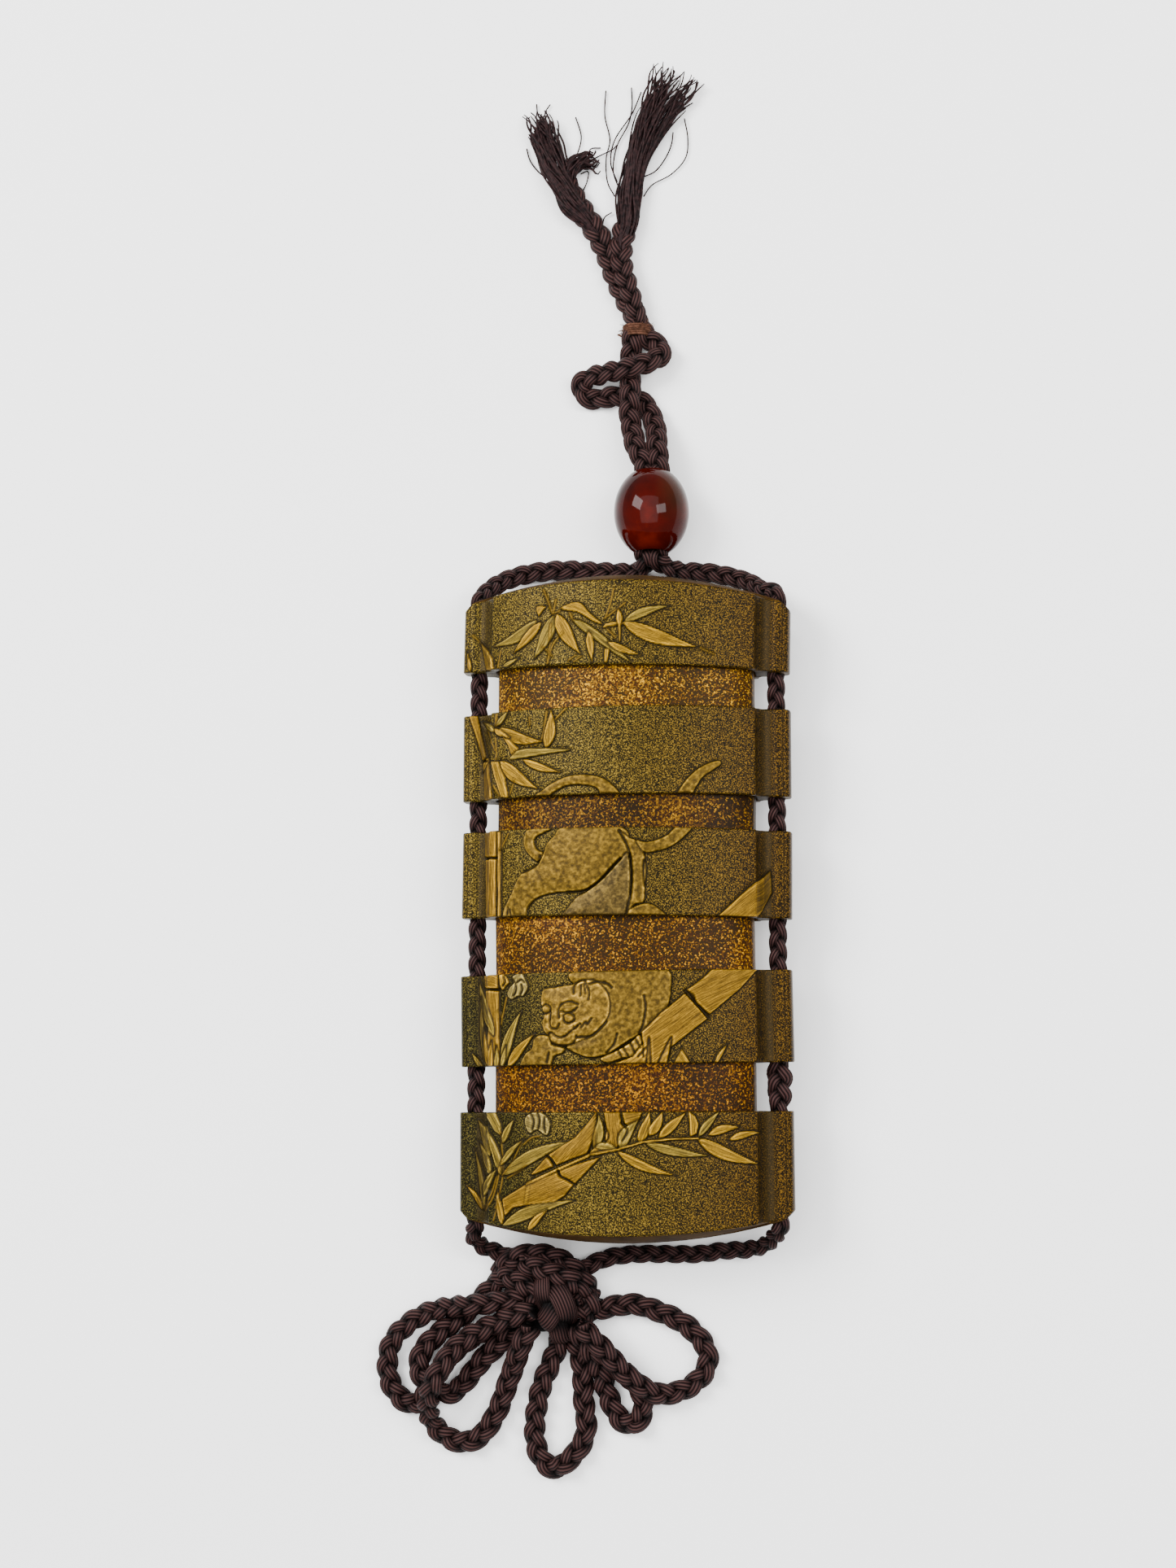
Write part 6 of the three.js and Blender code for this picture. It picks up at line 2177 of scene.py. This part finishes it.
@dataclass(frozen=True)
class Carnelian:
    """Deep red polished stone, clouded and browner at its upper right."""

    clouds: tuple = (
        (0.35, (0.012, 0.0006, 0.0002)), (0.6, (0.034, 0.0012, 0.0003)), (0.78, (0.075, 0.004, 0.0008)),
    )
    brown: Colour = (0.022, 0.008, 0.002)

    def material(self) -> Material:
        """Makes the finish.

        Returns:
            The material.
        """
        n = Nodes("polished_carnelian")
        colour = n.ramp(n.noise(140, 4), self.clouds)
        x, y, _ = n.parts(n.place())
        right = n.clamp(n.times(n.math("SUBTRACT", x, 0.0055), 220.0))
        upper = n.clamp(n.times(n.math("SUBTRACT", y, 0.0700), 120.0))
        colour = n.mix(n.times(right, upper), colour, self.brown)
        n.set(Base_Color=colour, Roughness=0.06, IOR=1.54, Specular_IOR_Level=0.07)
        return n.material


# Stage.

@dataclass(frozen=True)
class PhotoView:
    """The camera, where the photograph was taken from."""

    place: tuple[float, float, float] = (60.652, -33.982, 447.5)
    turn: tuple = (
        (0.98823508, 0.01736488, 0.15195355),
        (0.00194483, 0.99202648, -0.12601464),
        (-0.15293017, 0.12482762, 0.9803216),
    )
    focal_pixels: int = 3000
    photo_pixels: int = 1927
    sensor: int = 36

    def build(self) -> None:
        """Puts the camera in its place and makes it the scene's own."""
        data = bpy.data.cameras.new("photo_view")
        data.lens = self.focal_pixels / self.photo_pixels * self.sensor
        data.sensor_width = self.sensor
        data.clip_start = 0.01
        data.clip_end = 10
        camera = bpy.data.objects.new("photo_view", data)
        camera.matrix_world = Matrix.Translation(Vector(self.place) * MM) @ Matrix(self.turn).to_4x4()
        bpy.context.scene.collection.objects.link(camera)
        bpy.context.scene.camera = camera


@dataclass(frozen=True)
class SoftLight:
    """A rectangular studio light that faces the object, in metres and watts."""

    name: str
    place: tuple[float, float, float]
    width: float
    height: float
    power: float

    def build(self) -> None:
        """Hangs the light."""
        data = bpy.data.lights.new(self.name, "AREA")
        data.shape = "RECTANGLE"
        data.size = self.width
        data.size_y = self.height
        data.energy = self.power
        light = bpy.data.objects.new(self.name, data)
        light.location = self.place
        light.rotation_euler = (Vector((0, 0.02, 0)) - Vector(self.place)).to_track_quat("-Z", "Y").to_euler()
        bpy.context.scene.collection.objects.link(light)


@dataclass(frozen=True)
class Stage:
    """The floor, the lights and the pale surroundings."""

    floor_size: float = 6
    floor_colour: Colour = (0.92, 0.92, 0.92)
    lights: tuple[SoftLight, ...] = (
        SoftLight("window_left", (-0.55, 0.35, 0.75), 0.35, 0.5, 16.0),
        SoftLight("window_right", (0.60, 0.15, 0.80), 0.30, 0.5, 9.0),
        SoftLight("sky", (0.0, 0.1, 1.3), 1.4, 1.4, 20.0),
    )

    def build(self) -> None:
        """Lays the floor, hangs the lights and sets the surroundings."""
        bpy.ops.mesh.primitive_plane_add(size=self.floor_size, location=(0, 0, 0))
        floor = bpy.context.active_object
        floor.name = "stage_floor"
        n = Nodes("plain_floor")
        n.set(Base_Color=self.floor_colour, Roughness=0.9)
        floor.data.materials.append(n.material)
        for light in self.lights:
            light.build()
        world = bpy.data.worlds.new("pale_room")
        world.use_nodes = True
        background = world.node_tree.nodes["Background"]
        background.inputs[0].default_value = (1, 1, 1, 1)
        background.inputs[1].default_value = 1.0
        bpy.context.scene.world = world


def main() -> None:
    """Builds the scene in order."""
    logging.basicConfig(level=logging.INFO)
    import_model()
    silk = SilkYarn().material()
    PhotoView().build()
    Stage().build()
    Cords().build(silk)
    Bow().build(silk)
    Binding().build(RUST_THREAD.material())
    loose = LOOSE_SILK.material()
    for fringe in FRINGES:
        fringe.build(loose, silk)
    Bead().build(Carnelian().material())
    finishes = [GoldLacquer().material(), FlakeLacquer().material(), PLAIN_LACQUER.material()]
    for band in BANDS.values():
        CasePart(band).build(finishes)


if __name__ == "__main__":
    main()
